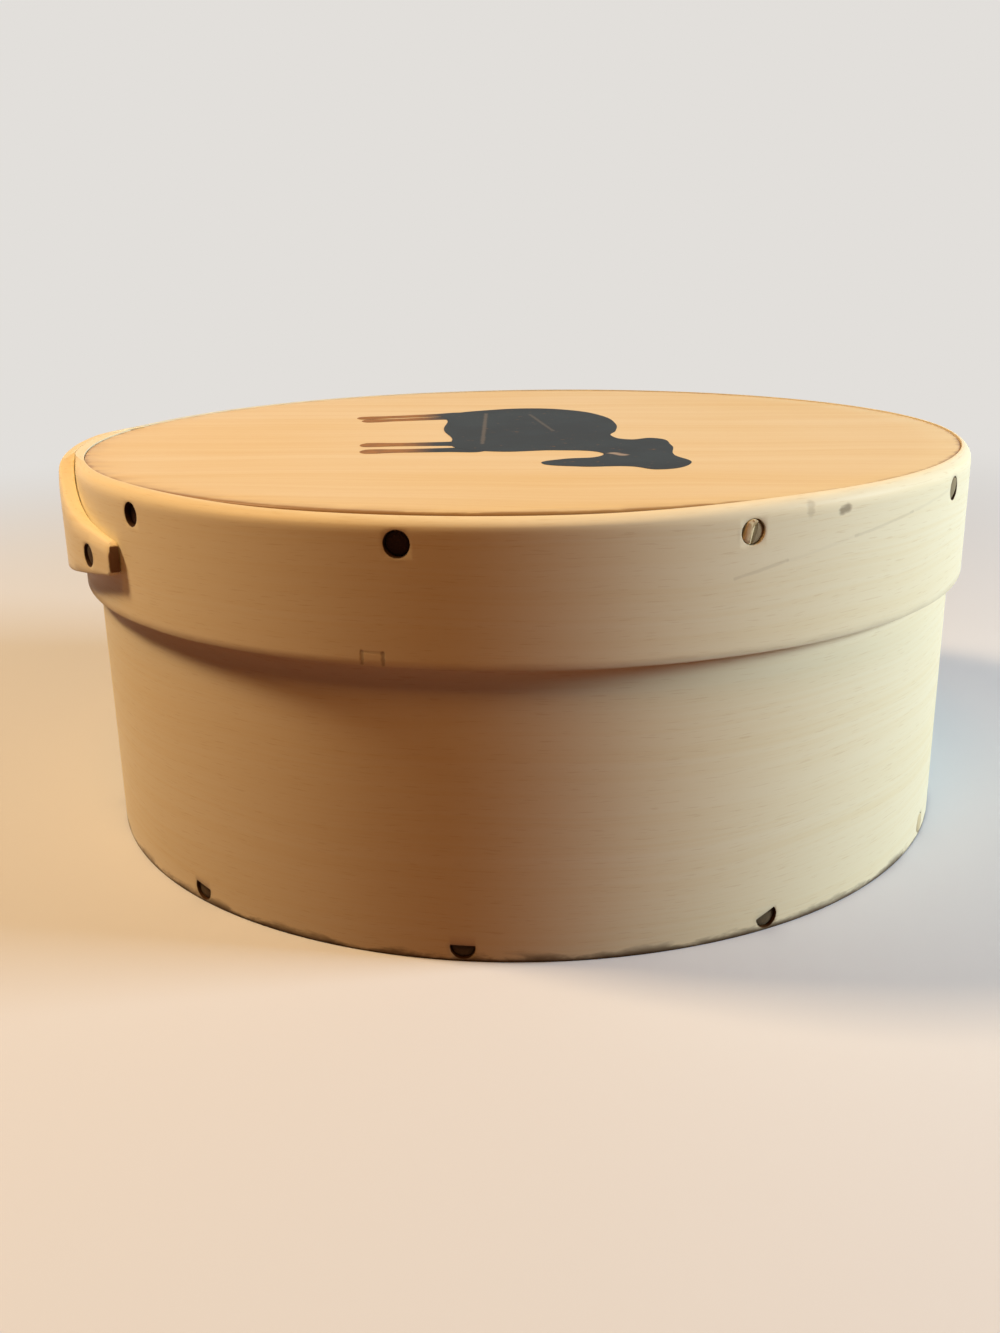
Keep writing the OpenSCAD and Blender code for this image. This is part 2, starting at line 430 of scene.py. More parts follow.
@dataclass
class Graph:
    """Shader nodes of one tree, added and wired in order."""

    tree: NodeTree

    def add(self, kind: str, inputs: Optional[dict[Union[str, int], Value]] = None,
            **settings: object) -> Node:
        """Adds a node.

        Args:
            kind: Blender's name for the node.
            inputs: Values or sockets for its inputs.
            settings: Properties of the node.

        Returns:
            The new node.
        """
        node = self.tree.nodes.new(kind)
        for key, value in settings.items():
            setattr(node, key, value)
        for key, value in (inputs or {}).items():
            self.feed(node.inputs[key], value)
        return node

    def feed(self, socket: NodeSocket, value: Value) -> None:
        """Links a socket into an input, or sets its value.

        Args:
            socket: The input.
            value: Socket or plain value for it.
        """
        if isinstance(value, NodeSocket):
            self.tree.links.new(value, socket)
        else:
            socket.default_value = value

    def math(self, operation: str, first: Value, second: Value = 0.0, third: Value = 0.0,
             clamp: bool = False) -> NodeSocket:
        """Result of a Math node."""
        return self.add("ShaderNodeMath", {0: first, 1: second, 2: third}, operation=operation,
                        use_clamp=clamp).outputs[0]

    def times(self, first: Value, second: Value) -> NodeSocket:
        """First value times the second."""
        return self.math("MULTIPLY", first, second)

    def minus(self, first: Value, second: Value) -> NodeSocket:
        """First value less the second."""
        return self.math("SUBTRACT", first, second)

    def vector(self, operation: str, first: Value, second: Value = (0.0, 0.0, 0.0),
               result: str = "Vector") -> NodeSocket:
        """Result of a Vector Math node: a Vector, or the Value of a length or product."""
        return self.add("ShaderNodeVectorMath", {0: first, 1: second}, operation=operation).outputs[result]

    def turned(self, vector: Value, turn: float) -> NodeSocket:
        """Vector turned about its third axis."""
        return self.add("ShaderNodeVectorRotate", {"Vector": vector, "Angle": math.radians(turn)},
                        rotation_type="Z_AXIS").outputs[0]

    def ramp(self, value: Value, low: Value, high: Value, to_low: float = 0.0,
             to_high: float = 1.0) -> NodeSocket:
        """Value eased from one range to another."""
        return self.add("ShaderNodeMapRange", {0: value, 1: low, 2: high, 3: to_low, 4: to_high},
                        interpolation_type="SMOOTHSTEP").outputs[0]

    def blend(self, share: Value, first: Value, second: Value) -> NodeSocket:
        """Blend of two colours."""
        return self.add("ShaderNodeMix", {0: share, 6: first, 7: second}, data_type="RGBA",
                        clamp_factor=True).outputs[2]

    def group(self, tree: NodeTree, inputs: dict[str, Value]) -> Node:
        """Places a shared effect with its own values."""
        return self.add("ShaderNodeGroup", inputs, node_tree=tree)

    def attribute(self, name: str, output: str) -> NodeSocket:
        """The piece's own attribute, as a Vector or a Fac."""
        return self.add("ShaderNodeAttribute", attribute_name=name).outputs[output]

    def seen(self) -> NodeSocket:
        """1 for the rays that show a backdrop, whether straight, mirrored or through glass.

        Returns:
            The socket.
        """
        rays = self.add("ShaderNodeLightPath").outputs
        both = self.math("ADD", rays["Is Camera Ray"], rays["Is Glossy Ray"])
        return self.math("ADD", both, rays["Is Transmission Ray"], clamp=True)

    def object_place(self) -> NodeSocket:
        """Place on the piece in its own coordinates."""
        return self.add("ShaderNodeTexCoord").outputs["Object"]

    def surface(self, shader: Node, colour: Value, roughness: Value, gloss: float, height: Value,
                bump: Pair) -> None:
        """Feeds the shader of a material.

        Args:
            shader: Its Principled BSDF.
            colour: Its colour.
            roughness: Its roughness.
            gloss: Its specular level.
            height: Height of its bump.
            bump: Depth and strength of that bump.
        """
        self.feed(shader.inputs["Base Color"], colour)
        self.feed(shader.inputs["Roughness"], roughness)
        shader.inputs["Specular IOR Level"].default_value = gloss
        shape = self.add("ShaderNodeBump", {"Height": height, "Distance": bump[0], "Strength": bump[1]})
        self.feed(shader.inputs["Normal"], shape.outputs[0])


def new_group(name: str, inputs: dict[str, str], outputs: dict[str, str]) -> tuple[Graph, Sockets, Sockets]:
    """Starts a shared effect.

    Args:
        name: Name of the node group.
        inputs: Kind of socket by its name.
        outputs: Kind of socket by its name.

    Returns:
        The group's graph, what it is given and what it puts out.
    """
    tree = bpy.data.node_groups.new(name, "ShaderNodeTree")
    for way, sockets in (("INPUT", inputs), ("OUTPUT", outputs)):
        for key, kind in sockets.items():
            tree.interface.new_socket(key, in_out=way, socket_type="NodeSocket" + kind)
    graph = Graph(tree)
    return graph, graph.add("NodeGroupInput").outputs, graph.add("NodeGroupOutput").inputs


@dataclass(frozen=True)
class Pattern:
    """Stretched noise: its scale on each axis, its detail, its roughness and the range that shows."""

    scale: Triple
    detail: float = 2.0
    roughness: float = 0.5
    shows: Pair = (0.3, 0.7)

    def value(self, graph: Graph, vector: Value) -> NodeSocket:
        """Value of the noise at a place.

        Args:
            graph: Graph of the material.
            vector: Place on the surface.

        Returns:
            The noise.
        """
        return graph.add("ShaderNodeTexNoise", {
            "Vector": graph.vector("MULTIPLY", vector, self.scale), "Scale": 1.0, "Detail": self.detail,
            "Roughness": self.roughness}).outputs[0]

    def mask(self, graph: Graph, value: Value) -> NodeSocket:
        """Share to which a value of the noise shows."""
        return graph.ramp(value, *self.shows)


@dataclass
class Effects:
    """Shared shader effects, each built once as a node group."""

    sway: Pattern = Pattern((14.0, 30.0, 30.0), 1.0)
    bands: Pattern = Pattern((2.5, 120.0, 120.0), 2.0, 0.55, (0.3, 0.72))
    streaks: Pattern = Pattern((9.0, 900.0, 500.0), 3.0, 0.6, (0.38, 0.72))
    pores: Pattern = Pattern((190.0, 3200.0, 1600.0), 1.0, 0.5, (0.62, 0.74))
    drift: Pattern = Pattern((11.0, 16.0, 16.0), 2.0, 0.5, (0.3, 0.75))
    frayed: Pattern = Pattern((260.0, 900.0, 1.0))
    patches: Pattern = Pattern((90.0, 260.0, 260.0), 4.0, 0.6)
    patch_reach: Pair = (0.45, 1.55)
    streak_height: float = 0.6
    band_height: float = 0.4
    mark_core: float = 0.25
    noise_middle: float = 0.5
    grain: NodeTree = field(init=False)
    mark: NodeTree = field(init=False)
    dirt_and_shade: NodeTree = field(init=False)

    def __post_init__(self) -> None:
        """Builds all the groups."""
        self.grain, self.mark, self.dirt_and_shade = self.grain_group(), self.mark_group(), self.dirt_and_shade_group()

    def grain_group(self) -> NodeTree:
        """Straight grain along the vector's first axis: broad bands, fine streaks and short pores.

        Returns:
            The node group.
        """
        graph, given, out = new_group("wood_grain", {
            "Vector": "Vector", "Pale": "Color", "Deep": "Color", "Pore": "Color", "Band share": "Float",
            "Streak share": "Float", "Pore share": "Float", "Bend": "Float"},
            {"Color": "Color", "Height": "Float", "Tone": "Float"})
        place = given["Vector"]
        sway = graph.minus(self.sway.value(graph, place), self.noise_middle)
        lean = graph.add("ShaderNodeCombineXYZ", {"Y": graph.times(sway, given["Bend"])}).outputs[0]
        bent = graph.vector("ADD", place, lean)
        bands, streaks = self.bands.value(graph, bent), self.streaks.value(graph, bent)
        pores, drift = self.pores.value(graph, bent), self.drift.value(graph, place)
        band_tone = graph.times(self.bands.mask(graph, bands), given["Band share"])
        streak_tone = graph.times(self.streaks.mask(graph, streaks), given["Streak share"])
        cloud = graph.times(self.drift.mask(graph, drift), given["Band share"])
        tone = graph.math("ADD", graph.math("ADD", band_tone, streak_tone), cloud, clamp=True)
        pore = graph.times(self.pores.mask(graph, pores), given["Pore share"])
        wood = graph.blend(tone, given["Pale"], given["Deep"])
        graph.feed(out["Color"], graph.blend(pore, wood, given["Pore"]))
        broad = graph.times(bands, self.band_height)
        rough = graph.math("MULTIPLY_ADD", streaks, self.streak_height, broad)
        graph.feed(out["Height"], graph.minus(rough, pore))
        graph.feed(out["Tone"], tone)
        return graph.tree

    def mark_group(self) -> NodeTree:
        """Mask of a thin ragged mark between two places on a flat sheet.

        Returns:
            The node group.
        """
        graph, given, out = new_group("thin_mark", {
            "Vector": "Vector", "From": "Vector", "To": "Vector", "Width": "Float"}, {"Mask": "Float"})
        flat = graph.vector("MULTIPLY", given["Vector"], LEVEL)
        path = graph.vector("SUBTRACT", given["To"], given["From"])
        reach = graph.vector("SUBTRACT", flat, given["From"])
        along = graph.vector("DOT_PRODUCT", reach, path, "Value")
        square = graph.vector("DOT_PRODUCT", path, path, "Value")
        share = graph.math("DIVIDE", along, square, clamp=True)
        foot = graph.add("ShaderNodeVectorMath", {0: path, "Scale": share}, operation="SCALE").outputs[0]
        away = graph.vector("LENGTH", graph.vector("SUBTRACT", reach, foot), result="Value")
        frayed = graph.minus(self.frayed.value(graph, flat), self.noise_middle)
        spread = graph.math("ADD", away, graph.times(frayed, given["Width"]))
        core = graph.times(given["Width"], self.mark_core)
        graph.feed(out["Mask"], graph.minus(1.0, graph.ramp(spread, core, given["Width"])))
        return graph.tree

    def dirt_and_shade_group(self) -> NodeTree:
        """Darkening that gathers within a reach of an edge: dirt at some edges, painted shade at others.

        Returns:
            The node group.
        """
        graph, given, out = new_group("edge_dirt_and_shade", {
            "Color": "Color", "Vector": "Vector", "Distance": "Float", "Reach": "Float", "Dirt and shade": "Color",
            "Share": "Float"}, {"Color": "Color"})
        patches = self.patches.value(graph, given["Vector"])
        reach = graph.times(given["Reach"], graph.ramp(patches, *self.patches.shows, *self.patch_reach))
        near = graph.minus(1.0, graph.ramp(given["Distance"], 0.0, reach))
        mask = graph.times(near, given["Share"])
        graph.feed(out["Color"], graph.blend(mask, given["Color"], given["Dirt and shade"]))
        return graph.tree

    def edge_darkening(self, graph: Graph, colour: Value, place: Value, distance: Value, reach: float, share: Value,
             dirt_and_shade: Colour) -> NodeSocket:
        """Colour darkened at an edge by the distance from it, with a reach and a share; used for dirt and for
        painted shade.
        """
        return graph.group(self.dirt_and_shade, {"Color": colour, "Vector": place, "Distance": distance,
                                        "Reach": reach, "Dirt and shade": dirt_and_shade, "Share": share}).outputs["Color"]

    def scratch(self, graph: Graph, place: Value, start: Vector, end: Vector, mark: ThinMark) -> NodeSocket:
        """Share to which a thin mark between two places shows."""
        mask = graph.group(self.mark, {"Vector": place, "From": start, "To": end, "Width": mark.width})
        return graph.times(mask.outputs["Mask"], mark.share)


def new_material(name: str) -> tuple[Material, Graph, Node]:
    """Starts a material.

    Args:
        name: Name of the material.

    Returns:
        The material, its graph and its Principled BSDF.
    """
    material = bpy.data.materials.new(name)
    material.use_nodes = True
    graph = Graph(material.node_tree)
    return material, graph, material.node_tree.nodes["Principled BSDF"]


@dataclass(frozen=True)
class Grain:
    """Colours of straight grain, how much of each part of it shows, and how far it bends."""

    pale: Colour
    deep: Colour
    pore: Colour
    band_share: float
    streak_share: float
    pore_share: float
    bend: float

    def lay(self, graph: Graph, effects: Effects, place: Value) -> Node:
        """Lays the grain along the first axis of a place, and returns its node.

        Args:
            graph: Graph of the material.
            effects: Shared node groups.
            place: Place on the surface.

        Returns:
            The grain's node.
        """
        return graph.group(effects.grain, {
            "Vector": place, "Pale": self.pale, "Deep": self.deep, "Pore": self.pore,
            "Band share": self.band_share, "Streak share": self.streak_share, "Pore share": self.pore_share,
            "Bend": self.bend})


@dataclass(frozen=True)
class BandWood:
    """Pale wood of the bent strips, satin from handling. Edges darken with a reach and a share: some with
    dirt, others with painted shade.
    """

    name: str
    grain: Grain = Grain(shade(243, 238, 211), shade(238, 228, 192), shade(196, 170, 116), 0.3, 0.4, 0.2,
                         6.0 * MM)
    dirt_and_shade: Colour = shade(112, 72, 34)
    scar: Colour = shade(70, 38, 18)
    # Painted shade on the walls of the peg holes and just round their edges.
    bore_shade: Colour = shade(46, 20, 8)
    # End grain of the finger's tip, darkened further as painted shade on its end face.
    end_grain_and_shade: Colour = shade(92, 44, 18)
    # Darker towards the foot; on the box this is a painted contact shadow.
    foot: Pair = (1.5 * MM, 0.15)
    rim: Pair = (1.2 * MM, 0.08)
    hole: Pair = (1.2 * MM, 0.15)
    bore_shade_reach: Pair = (0.22 * MM, 0.97)
    tip_grain_and_shade: Pair = (0.5 * MM, 0.88)
    roughness: Pair = (0.36, 0.5)
    gloss: float = 0.04
    relief: float = 0.1
    bump: Pair = (0.2 * MM, 0.6)

    def make(self, effects: Effects, low: float, high: float, tip: float,
             marks: Sequence[tuple[Vector, Vector, ThinMark]]) -> Material:
        """Makes the material of one band.

        Args:
            effects: Shared node groups.
            low: Height of the band's lower edge.
            high: Height of its upper edge.
            tip: Place along the strip of its finger's end grain.
            marks: Ends of each mark on the flat strip, with its look.

        Returns:
            The material.
        """
        material, graph, shader = new_material(self.name)
        strip = graph.attribute(STRIP_MAP, "Vector")
        parts = graph.add("ShaderNodeSeparateXYZ", {0: strip}).outputs
        over_low, under_high = graph.minus(parts[1], low), graph.minus(high, parts[1])
        to_tip, to_hole = graph.minus(tip, parts[0]), graph.attribute(HOLE_GAP, "Fac")
        wood = self.grain.lay(graph, effects, strip).outputs
        colour = wood["Color"]
        # Dirt at the rim and round the holes; painted shade in the holes and on the finger's end face; on the
        # box, a painted contact shadow at the foot.
        for distance, darkening, dirt_and_shade in ((over_low, self.foot, self.dirt_and_shade), (under_high, self.rim, self.dirt_and_shade),
                                      (to_hole, self.hole, self.dirt_and_shade), (to_hole, self.bore_shade_reach, self.bore_shade),
                                      (to_tip, self.tip_grain_and_shade, self.end_grain_and_shade)):
            colour = effects.edge_darkening(graph, colour, strip, distance, *darkening, dirt_and_shade)
        height = graph.times(wood["Height"], self.relief)
        for start, end, mark in marks:
            mask = effects.scratch(graph, strip, start, end, mark)
            colour = graph.blend(mask, colour, self.scar)
            height = graph.minus(height, mask)
        rough = graph.ramp(wood["Tone"], 0.0, 1.0, *self.roughness)
        graph.surface(shader, colour, rough, self.gloss, height, self.bump)
        return material


@dataclass(frozen=True)
class BoardWood:
    """Warmer wood of the flat boards, worn smooth, with dirt in the seam at its edge and a painted shade of
    the rim towards its front-left edge.
    """

    name: str
    grain: Grain = Grain(shade(224, 205, 156), shade(212, 185, 126), shade(200, 136, 78), 0.3, 0.22, 0.16,
                         14.0 * MM)
    dirt_and_shade: Colour = shade(128, 88, 44)
    turn: float = 7.0
    seam: Pair = (1.5 * MM, 0.75)
    # Side towards which the rim's painted shade on the board grows.
    shaded_side: Triple = (-0.85, -0.5, 0.0)
    side_shade_reach: float = 5.0 * MM
    edge_darkening: Pair = (0.05, 0.22)
    roughness: Pair = (0.34, 0.5)
    gloss: float = 0.15
    relief: float = 0.1
    bump: Pair = (0.2 * MM, 0.5)

    def make(self, effects: Effects, radius: float) -> Material:
        """Makes the material of one board.

        Args:
            effects: Shared node groups.
            radius: Radius of the board.

        Returns:
            The material.
        """
        material, graph, shader = new_material(self.name)
        place = graph.object_place()
        wood = self.grain.lay(graph, effects, graph.turned(place, self.turn)).outputs
        level = graph.vector("MULTIPLY", place, LEVEL)
        edge = graph.minus(radius, graph.vector("LENGTH", level, result="Value"))
        # Painted shade of the rim on the board, darker towards the front-left edge.
        towards = graph.vector("DOT_PRODUCT", level, self.shaded_side, "Value")
        side_shade = graph.ramp(towards, 0.0, radius / 2.0, *self.edge_darkening)
        colour = wood["Color"]
        for reach, share in (self.seam, (self.side_shade_reach, side_shade)):
            colour = effects.edge_darkening(graph, colour, place, edge, reach, share, self.dirt_and_shade)
        rough = graph.ramp(wood["Tone"], 0.0, 1.0, *self.roughness)
        height = graph.times(wood["Height"], self.relief)
        graph.surface(shader, colour, rough, self.gloss, height, self.bump)
        return material


@dataclass(frozen=True)
class PegWood:
    """Dark end grain of the pegs, with paler worn specks."""

    name: str = "peg_wood"
    dark: Colour = shade(40, 19, 8)
    pale: Colour = shade(96, 62, 34)
    light: Colour = shade(232, 218, 178)
    fine: Pattern = Pattern((1500.0, 1500.0, 1500.0), 3.0, 0.6, (0.42, 0.75))
    broad: Pattern = Pattern((240.0, 240.0, 240.0), 2.0, 0.5, (0.35, 0.7))
    roughness: float = 0.8
    gloss: float = 0.1
    bump: Pair = (0.15 * MM, 0.6)

    def make(self) -> Material:
        """Makes the material of all the pegs.

        Returns:
            The material.
        """
        material, graph, shader = new_material(self.name)
        place = graph.object_place()
        fine, broad = self.fine.value(graph, place), self.broad.value(graph, place)
        tone = graph.times(self.fine.mask(graph, fine), self.broad.mask(graph, broad))
        worn = graph.blend(tone, self.dark, self.pale)
        colour = graph.blend(graph.attribute(PEG_TONE, "Fac"), worn, self.light)
        graph.surface(shader, colour, self.roughness, self.gloss, fine, self.bump)
        return material


@dataclass(frozen=True)
class WornPaint:
    """Thin slate-black paint, rubbed brown on the legs, flaked and scratched."""

    name: str = "lid_paint"
    slate: Colour = shade(52, 64, 74)
    soot: Colour = shade(40, 49, 57)
    rubbed: Colour = shade(152, 113, 74)
    scratch: Colour = shade(158, 150, 144)
    cloud: Pattern = Pattern((45.0, 45.0, 45.0), 4.0, 0.6, (0.35, 0.68))
    specks: Pattern = Pattern((420.0, 900.0, 420.0), 3.0, 0.6, (0.66, 0.76))
    flaked: float = 0.7
    leg_specks: Pair = (0.2, 0.62)
    leg_rubbed: Pair = (0.55, 1.0)
    leg_fade: Pair = (-31.0 * MM, -20.5 * MM)
    sheen: Pair = (0.3, 0.7)
    roughness: Pair = (0.7, 0.8)
    gloss: float = 0.15
    bump: Pair = (0.05 * MM, 0.4)

    def make(self, effects: Effects, marks: Sequence[tuple[Vector, Vector, ThinMark]]) -> Material:
        """Makes the paint.

        Args:
            effects: Shared node groups.
            marks: Ends of each scratch on the board, with its look.

        Returns:
            The material.
        """
        material, graph, shader = new_material(self.name)
        place = graph.object_place()
        cloud, specks = self.cloud.value(graph, place), self.specks.value(graph, place)
        colour = graph.blend(self.cloud.mask(graph, cloud), self.soot, self.slate)
        along = graph.add("ShaderNodeSeparateXYZ", {0: place}).outputs[0]
        legs = graph.ramp(along, *self.leg_fade, 1.0, 0.0)
        worn = graph.times(legs, graph.ramp(specks, *self.leg_specks, *self.leg_rubbed))
        flaked = graph.ramp(specks, *self.specks.shows, 0.0, self.flaked)
        colour = graph.blend(graph.math("MAXIMUM", worn, flaked), colour, self.rubbed)
        for start, end, mark in marks:
            colour = graph.blend(effects.scratch(graph, place, start, end, mark), colour, self.scratch)
        rough = graph.ramp(cloud, *self.sheen, *self.roughness)
        graph.surface(shader, colour, rough, self.gloss, specks, self.bump)
        return material


@dataclass(frozen=True)
class PlainFloor:
    """Plain pale floor and backdrop. The floor throws back light as a table does."""

    name: str = "pale_floor"
    pale: Colour = shade(210, 220, 234)
    bounce: Colour = shade(96, 46, 13)
    backdrop: Colour = shade(226, 223, 219)
    roughness: float = 0.8
    fade: Pair = (0.2, 0.7)

    def make(self) -> Material:
        """Makes the floor, which passes into the backdrop away from the box.

        Returns:
            The material.
        """
        material, graph, shader = new_material(self.name)
        seen = graph.seen()
        graph.feed(shader.inputs["Base Color"], graph.blend(seen, self.bounce, self.pale))
        shader.inputs["Roughness"].default_value = self.roughness
        away = graph.vector("LENGTH", graph.object_place(), result="Value")
        share = graph.times(graph.ramp(away, *self.fade), seen)
        far = graph.add("ShaderNodeEmission", {"Color": self.backdrop})
        both = graph.add("ShaderNodeMixShader", {0: share, 1: shader.outputs[0], 2: far.outputs[0]})
        graph.feed(material.node_tree.nodes["Material Output"].inputs["Surface"], both.outputs[0])
        return material


@dataclass(frozen=True)
class Hole:
    """A peg hole: its turn in degrees, its height, whether it goes through the lap, and how it was cut."""

    turn: float
    height: float
    lapped: bool
    side: FlatSide = ROUND
    shade_and_dirt_gap: float = 0.0

    def gap(self, offset: Vector, radius: float) -> float:
        """Distance from the hole's edge of a point at an offset from its middle, more where the hole's
        painted bore shade and the dirt round it are held back.
        """
        away = max(offset.length - radius, offset.dot(self.side.outward) - self.side.share * radius)
        return away + self.shade_and_dirt_gap


@dataclass(frozen=True)
class Finger:
    """Side outline of a lap's finger: each edge as lengths back from the tip, with their heights."""

    upper: Sequence[Pair]
    lower: Sequence[Pair]

    @property
    def high(self) -> float:
        """Height of the upper edge at the root."""
        return self.upper[0][1]

    @property
    def low(self) -> float:
        """Height of the lower edge at the root."""
        return self.lower[0][1]


@dataclass
class BentBand:
    """Strip of wood bent into a ring, one end pared inside and the other climbing over it as a finger."""

    name: str
    node: str
    body: Body
    radius: float
    low: float
    high: float
    strip: float
    lap_turn: float
    finger: Finger
    holes: Sequence[Hole]
    bore: float
    bore_half: float
    rim_round: float = 0.0
    rim_arc: float = 4.0 * MM
    rim_rows: int = 5
    rim_worn: float = 0.0
    worn_turn: float = -101.0
    worn_half: Pair = (14.0, 42.0)
    edge_round: float = 0.0
    edge_reach: float = 2.6 * MM
    lap: float = 85.0 * MM
    ramp: float = 20.0 * MM
    lead_share: float = 0.57
    glue: float = 0.15 * MM
    bow: float = 0.0
    bow_rise: float = 34.0 * MM
    bow_full: float = 41.0 * MM
    bow_end: float = 54.0 * MM
    swell: float = 0.0
    pared: float = 0.6 * MM
    feather: float = 0.35 * MM
    kerf: float = 0.35 * MM
    eased: float = 0.28 * MM
    bore_eased: float = 0.14 * MM
    bore_slack: float = 1.05
    # Extra distance that holds back the painted shade in a bore and the dirt round it.
    bore_shade_and_dirt_gap: float = 0.12 * MM
    tip_pare: float = 0.5 * MM
    tip_reach: float = 30.0 * MM
    wave: float = 0.12 * MM
    wave_pitch: float = 2.2
    ragged: float = 0.18 * MM
    ragged_pitch: float = 9.0
    step: float = 2.4 * MM
    lead: float = field(init=False)
    around: float = field(init=False)
    start: float = field(init=False)
    tip: float = field(init=False)

    def __post_init__(self) -> None:
        """Works out the places along the strip."""
        self.lead = self.lead_share * self.ramp
        self.around = 2.0 * math.pi * self.radius
        self.start = math.radians(self.lap_turn) - (self.lap / 2.0 + self.ramp) / self.radius
        self.tip = self.around + self.ramp + self.lap

    @property
    def bored_high(self) -> float:
        """Height of the top of the highest bored block."""
        return max(hole.height for hole in self.holes) + self.bore_half

    def along(self, turn: float) -> float:
        """Place along the strip of a turn in degrees, within the first time round."""
        return (math.radians(turn) - self.start) % (2.0 * math.pi) * self.radius

    def climb(self, along: float) -> float:
        """Rise of the strip's inner face as it climbs onto the lap.

        Args:
            along: Place along the strip.

        Returns:
            The rise.
        """
        share = (along - self.around + self.lead) / (self.ramp + self.lead)
        back = self.tip - along
        fall = smooth((back - self.bow_full) / (self.bow_end - self.bow_full))
        bowed = smooth(back / self.bow_rise) * (1.0 - fall) * self.bow
        return smooth(share) * (self.strip + self.glue) + bowed

    def extra(self, along: float) -> float:
        """Thickness that the finger has over its strip: more along it, and less at its pared tip."""
        swollen = self.swell * smooth((along - self.around) / self.ramp)
        return swollen - self.tip_pare * smooth((along - self.tip + self.tip_reach) / self.tip_reach)

    def skin(self, turn: float) -> float:
        """Radius of the finger's outer face at a turn in degrees."""
        along = self.around + self.along(turn)
        return self.radius + self.climb(along) + self.extra(along)

    def covered(self, along: float) -> float:
        """Share to which the outer layer covers the rim of the inner one."""
        covered_end = self.ramp + self.lap - self.finger.upper[0][0]
        return smooth(along / self.ramp) * (1.0 - smooth((along - covered_end) / self.ramp))

    def rounded_edge(self, along: float, height: float) -> float:
        """Depth to which the finger's upper edge is rounded at a place on the flat strip.

        Args:
            along: Place along the strip.
            height: Height on the strip.

        Returns:
            The depth.
        """
        back = self.tip - along
        for (far, far_high), (near, near_high) in zip(self.finger.upper, self.finger.upper[1:]):
            if near <= back < far:
                edge = near_high + (far_high - near_high) * (back - near) / (far - near)
                share = min(max(1.0 - (edge - height) / self.edge_reach, 0.0), 1.0)
                fade = smooth((self.finger.upper[0][0] - back) / self.ramp)
                return self.edge_round * share * share * fade
        return 0.0

    def flush(self, along: float, height: float) -> bool:
        """True beside a finger that is narrower than its band, where the end stays level with the ring.

        Args:
            along: Place along the strip.
            height: Height on the strip.

        Returns:
            Whether the place is there.
        """
        margin = self.kerf / 2.0
        beside = height > self.finger.high + margin or height < self.finger.low - margin
        return beside and along > self.around - self.lead

    def place(self, flat: Vector) -> Vector:
        """Place in the round of a point of the flat strip.

        Args:
            flat: Place along the strip, height, and depth from its inner face.

        Returns:
            The point in the round.
        """
        along, height, depth = flat
        inner = self.radius - self.strip + self.climb(along)
        outer = inner + self.strip
        if self.flush(along, height):
            outer = self.radius
            inner = min(inner, outer - self.feather)
        pared_end = 2.0 * self.ramp
        if along < pared_end:
            room = self.radius - self.strip + self.climb(self.around + along) - self.glue
            outer = min(max(room, inner + self.pared), self.radius)
        outer += self.extra(along)
        share = depth / self.strip
        radius = inner + (outer - inner) * share
        over = height - (self.high - self.rim_round)
        if over > 0.0:
            set_back = self.rim_arc - math.sqrt(self.rim_arc ** 2 - over ** 2)
            radius -= share * set_back * (1.0 - self.covered(along))
        radius -= share * self.rounded_edge(along, height)
        turn = self.start + along / self.radius
        return self.worn(radius, turn, height - self.worn_rim(turn, height))

    def worn_rim(self, turn: float, height: float) -> float:
        """Depth to which handling has worn the rim down, all of it above the peg holes.

        Args:
            turn: Turn in radians.
            height: Height on the strip.

        Returns:
            The depth.
        """
        full, none = self.worn_half
        away = abs((math.degrees(turn) - self.worn_turn + FULL_TURN / 2.0) % FULL_TURN - FULL_TURN / 2.0)
        share = max(height - self.bored_high, 0.0) / (self.high - self.bored_high)
        return self.rim_worn * share * (1.0 - smooth((away - full) / (none - full)))

    def worn(self, radius: float, turn: float, height: float) -> Vector:
        """Point of the ring with the slight unevenness of bent wood and hand-cut edges.

        Args:
            radius: Radius of the even ring.
            turn: Turn in radians.
            height: Height on the even ring.

        Returns:
            The point.
        """
        ring = Vector((math.cos(turn), math.sin(turn), height / self.radius))
        out = self.wave * noise.noise(ring * self.wave_pitch)
        share = (height - self.low) / (self.high - self.low)
        rough = 0.5 + 0.5 * noise.noise(ring * self.ragged_pitch)
        edge = self.ragged * rough * max(1.0 - 2.0 * share, 0.0)
        return polar(radius + out - self.wave, turn, height + edge)

    def spots(self) -> list[tuple[Vector, Hole]]:
        """Middles of all the holes on the flat strip: a lapped hole goes through both layers."""
        return [(Vector((turn + self.along(hole.turn), hole.height, 0.0)), hole) for hole in self.holes
                for turn in ((0.0, self.around) if hole.lapped else (0.0,))]

    def columns(self) -> list[float]:
        """Lines across the flat strip. One that would cross a hole is left out.

        Returns:
            Their places along the strip.
        """
        bores = [middle.x for middle, _ in self.spots()]
        stops = [self.around - self.lead, self.scarf_end()]
        stops += [self.tip - back for back, _ in (*self.finger.upper, *self.finger.lower)]
        clear = self.bore - self.bore_eased
        stops = [stop for stop in stops if all(abs(stop - bore) > clear for bore in bores)]
        return ladder(0.0, self.tip, self.step, bores, self.bore_half, stops)

    def rows(self) -> list[float]:
        """Lines along the flat strip, closer together on the rounded rim.

        Returns:
            Their heights.
        """
        stops = [self.finger.low, self.finger.high]
        if self.rim_round:
            crown = self.high - self.bored_high
            stops += [self.high - crown * part / self.rim_rows for part in range(1, self.rim_rows)]
        return ladder(self.low, self.high, self.step, [hole.height for hole in self.holes], self.bore_half,
                      stops)

    def scarf_end(self) -> float:
        """Place along the strip where a level end has thinned to a feather edge.

        Returns:
            The place.
        """
        part, pace = self.around, MM / 2.0
        while self.climb(part) < self.strip - self.feather:
            part += pace
        return part

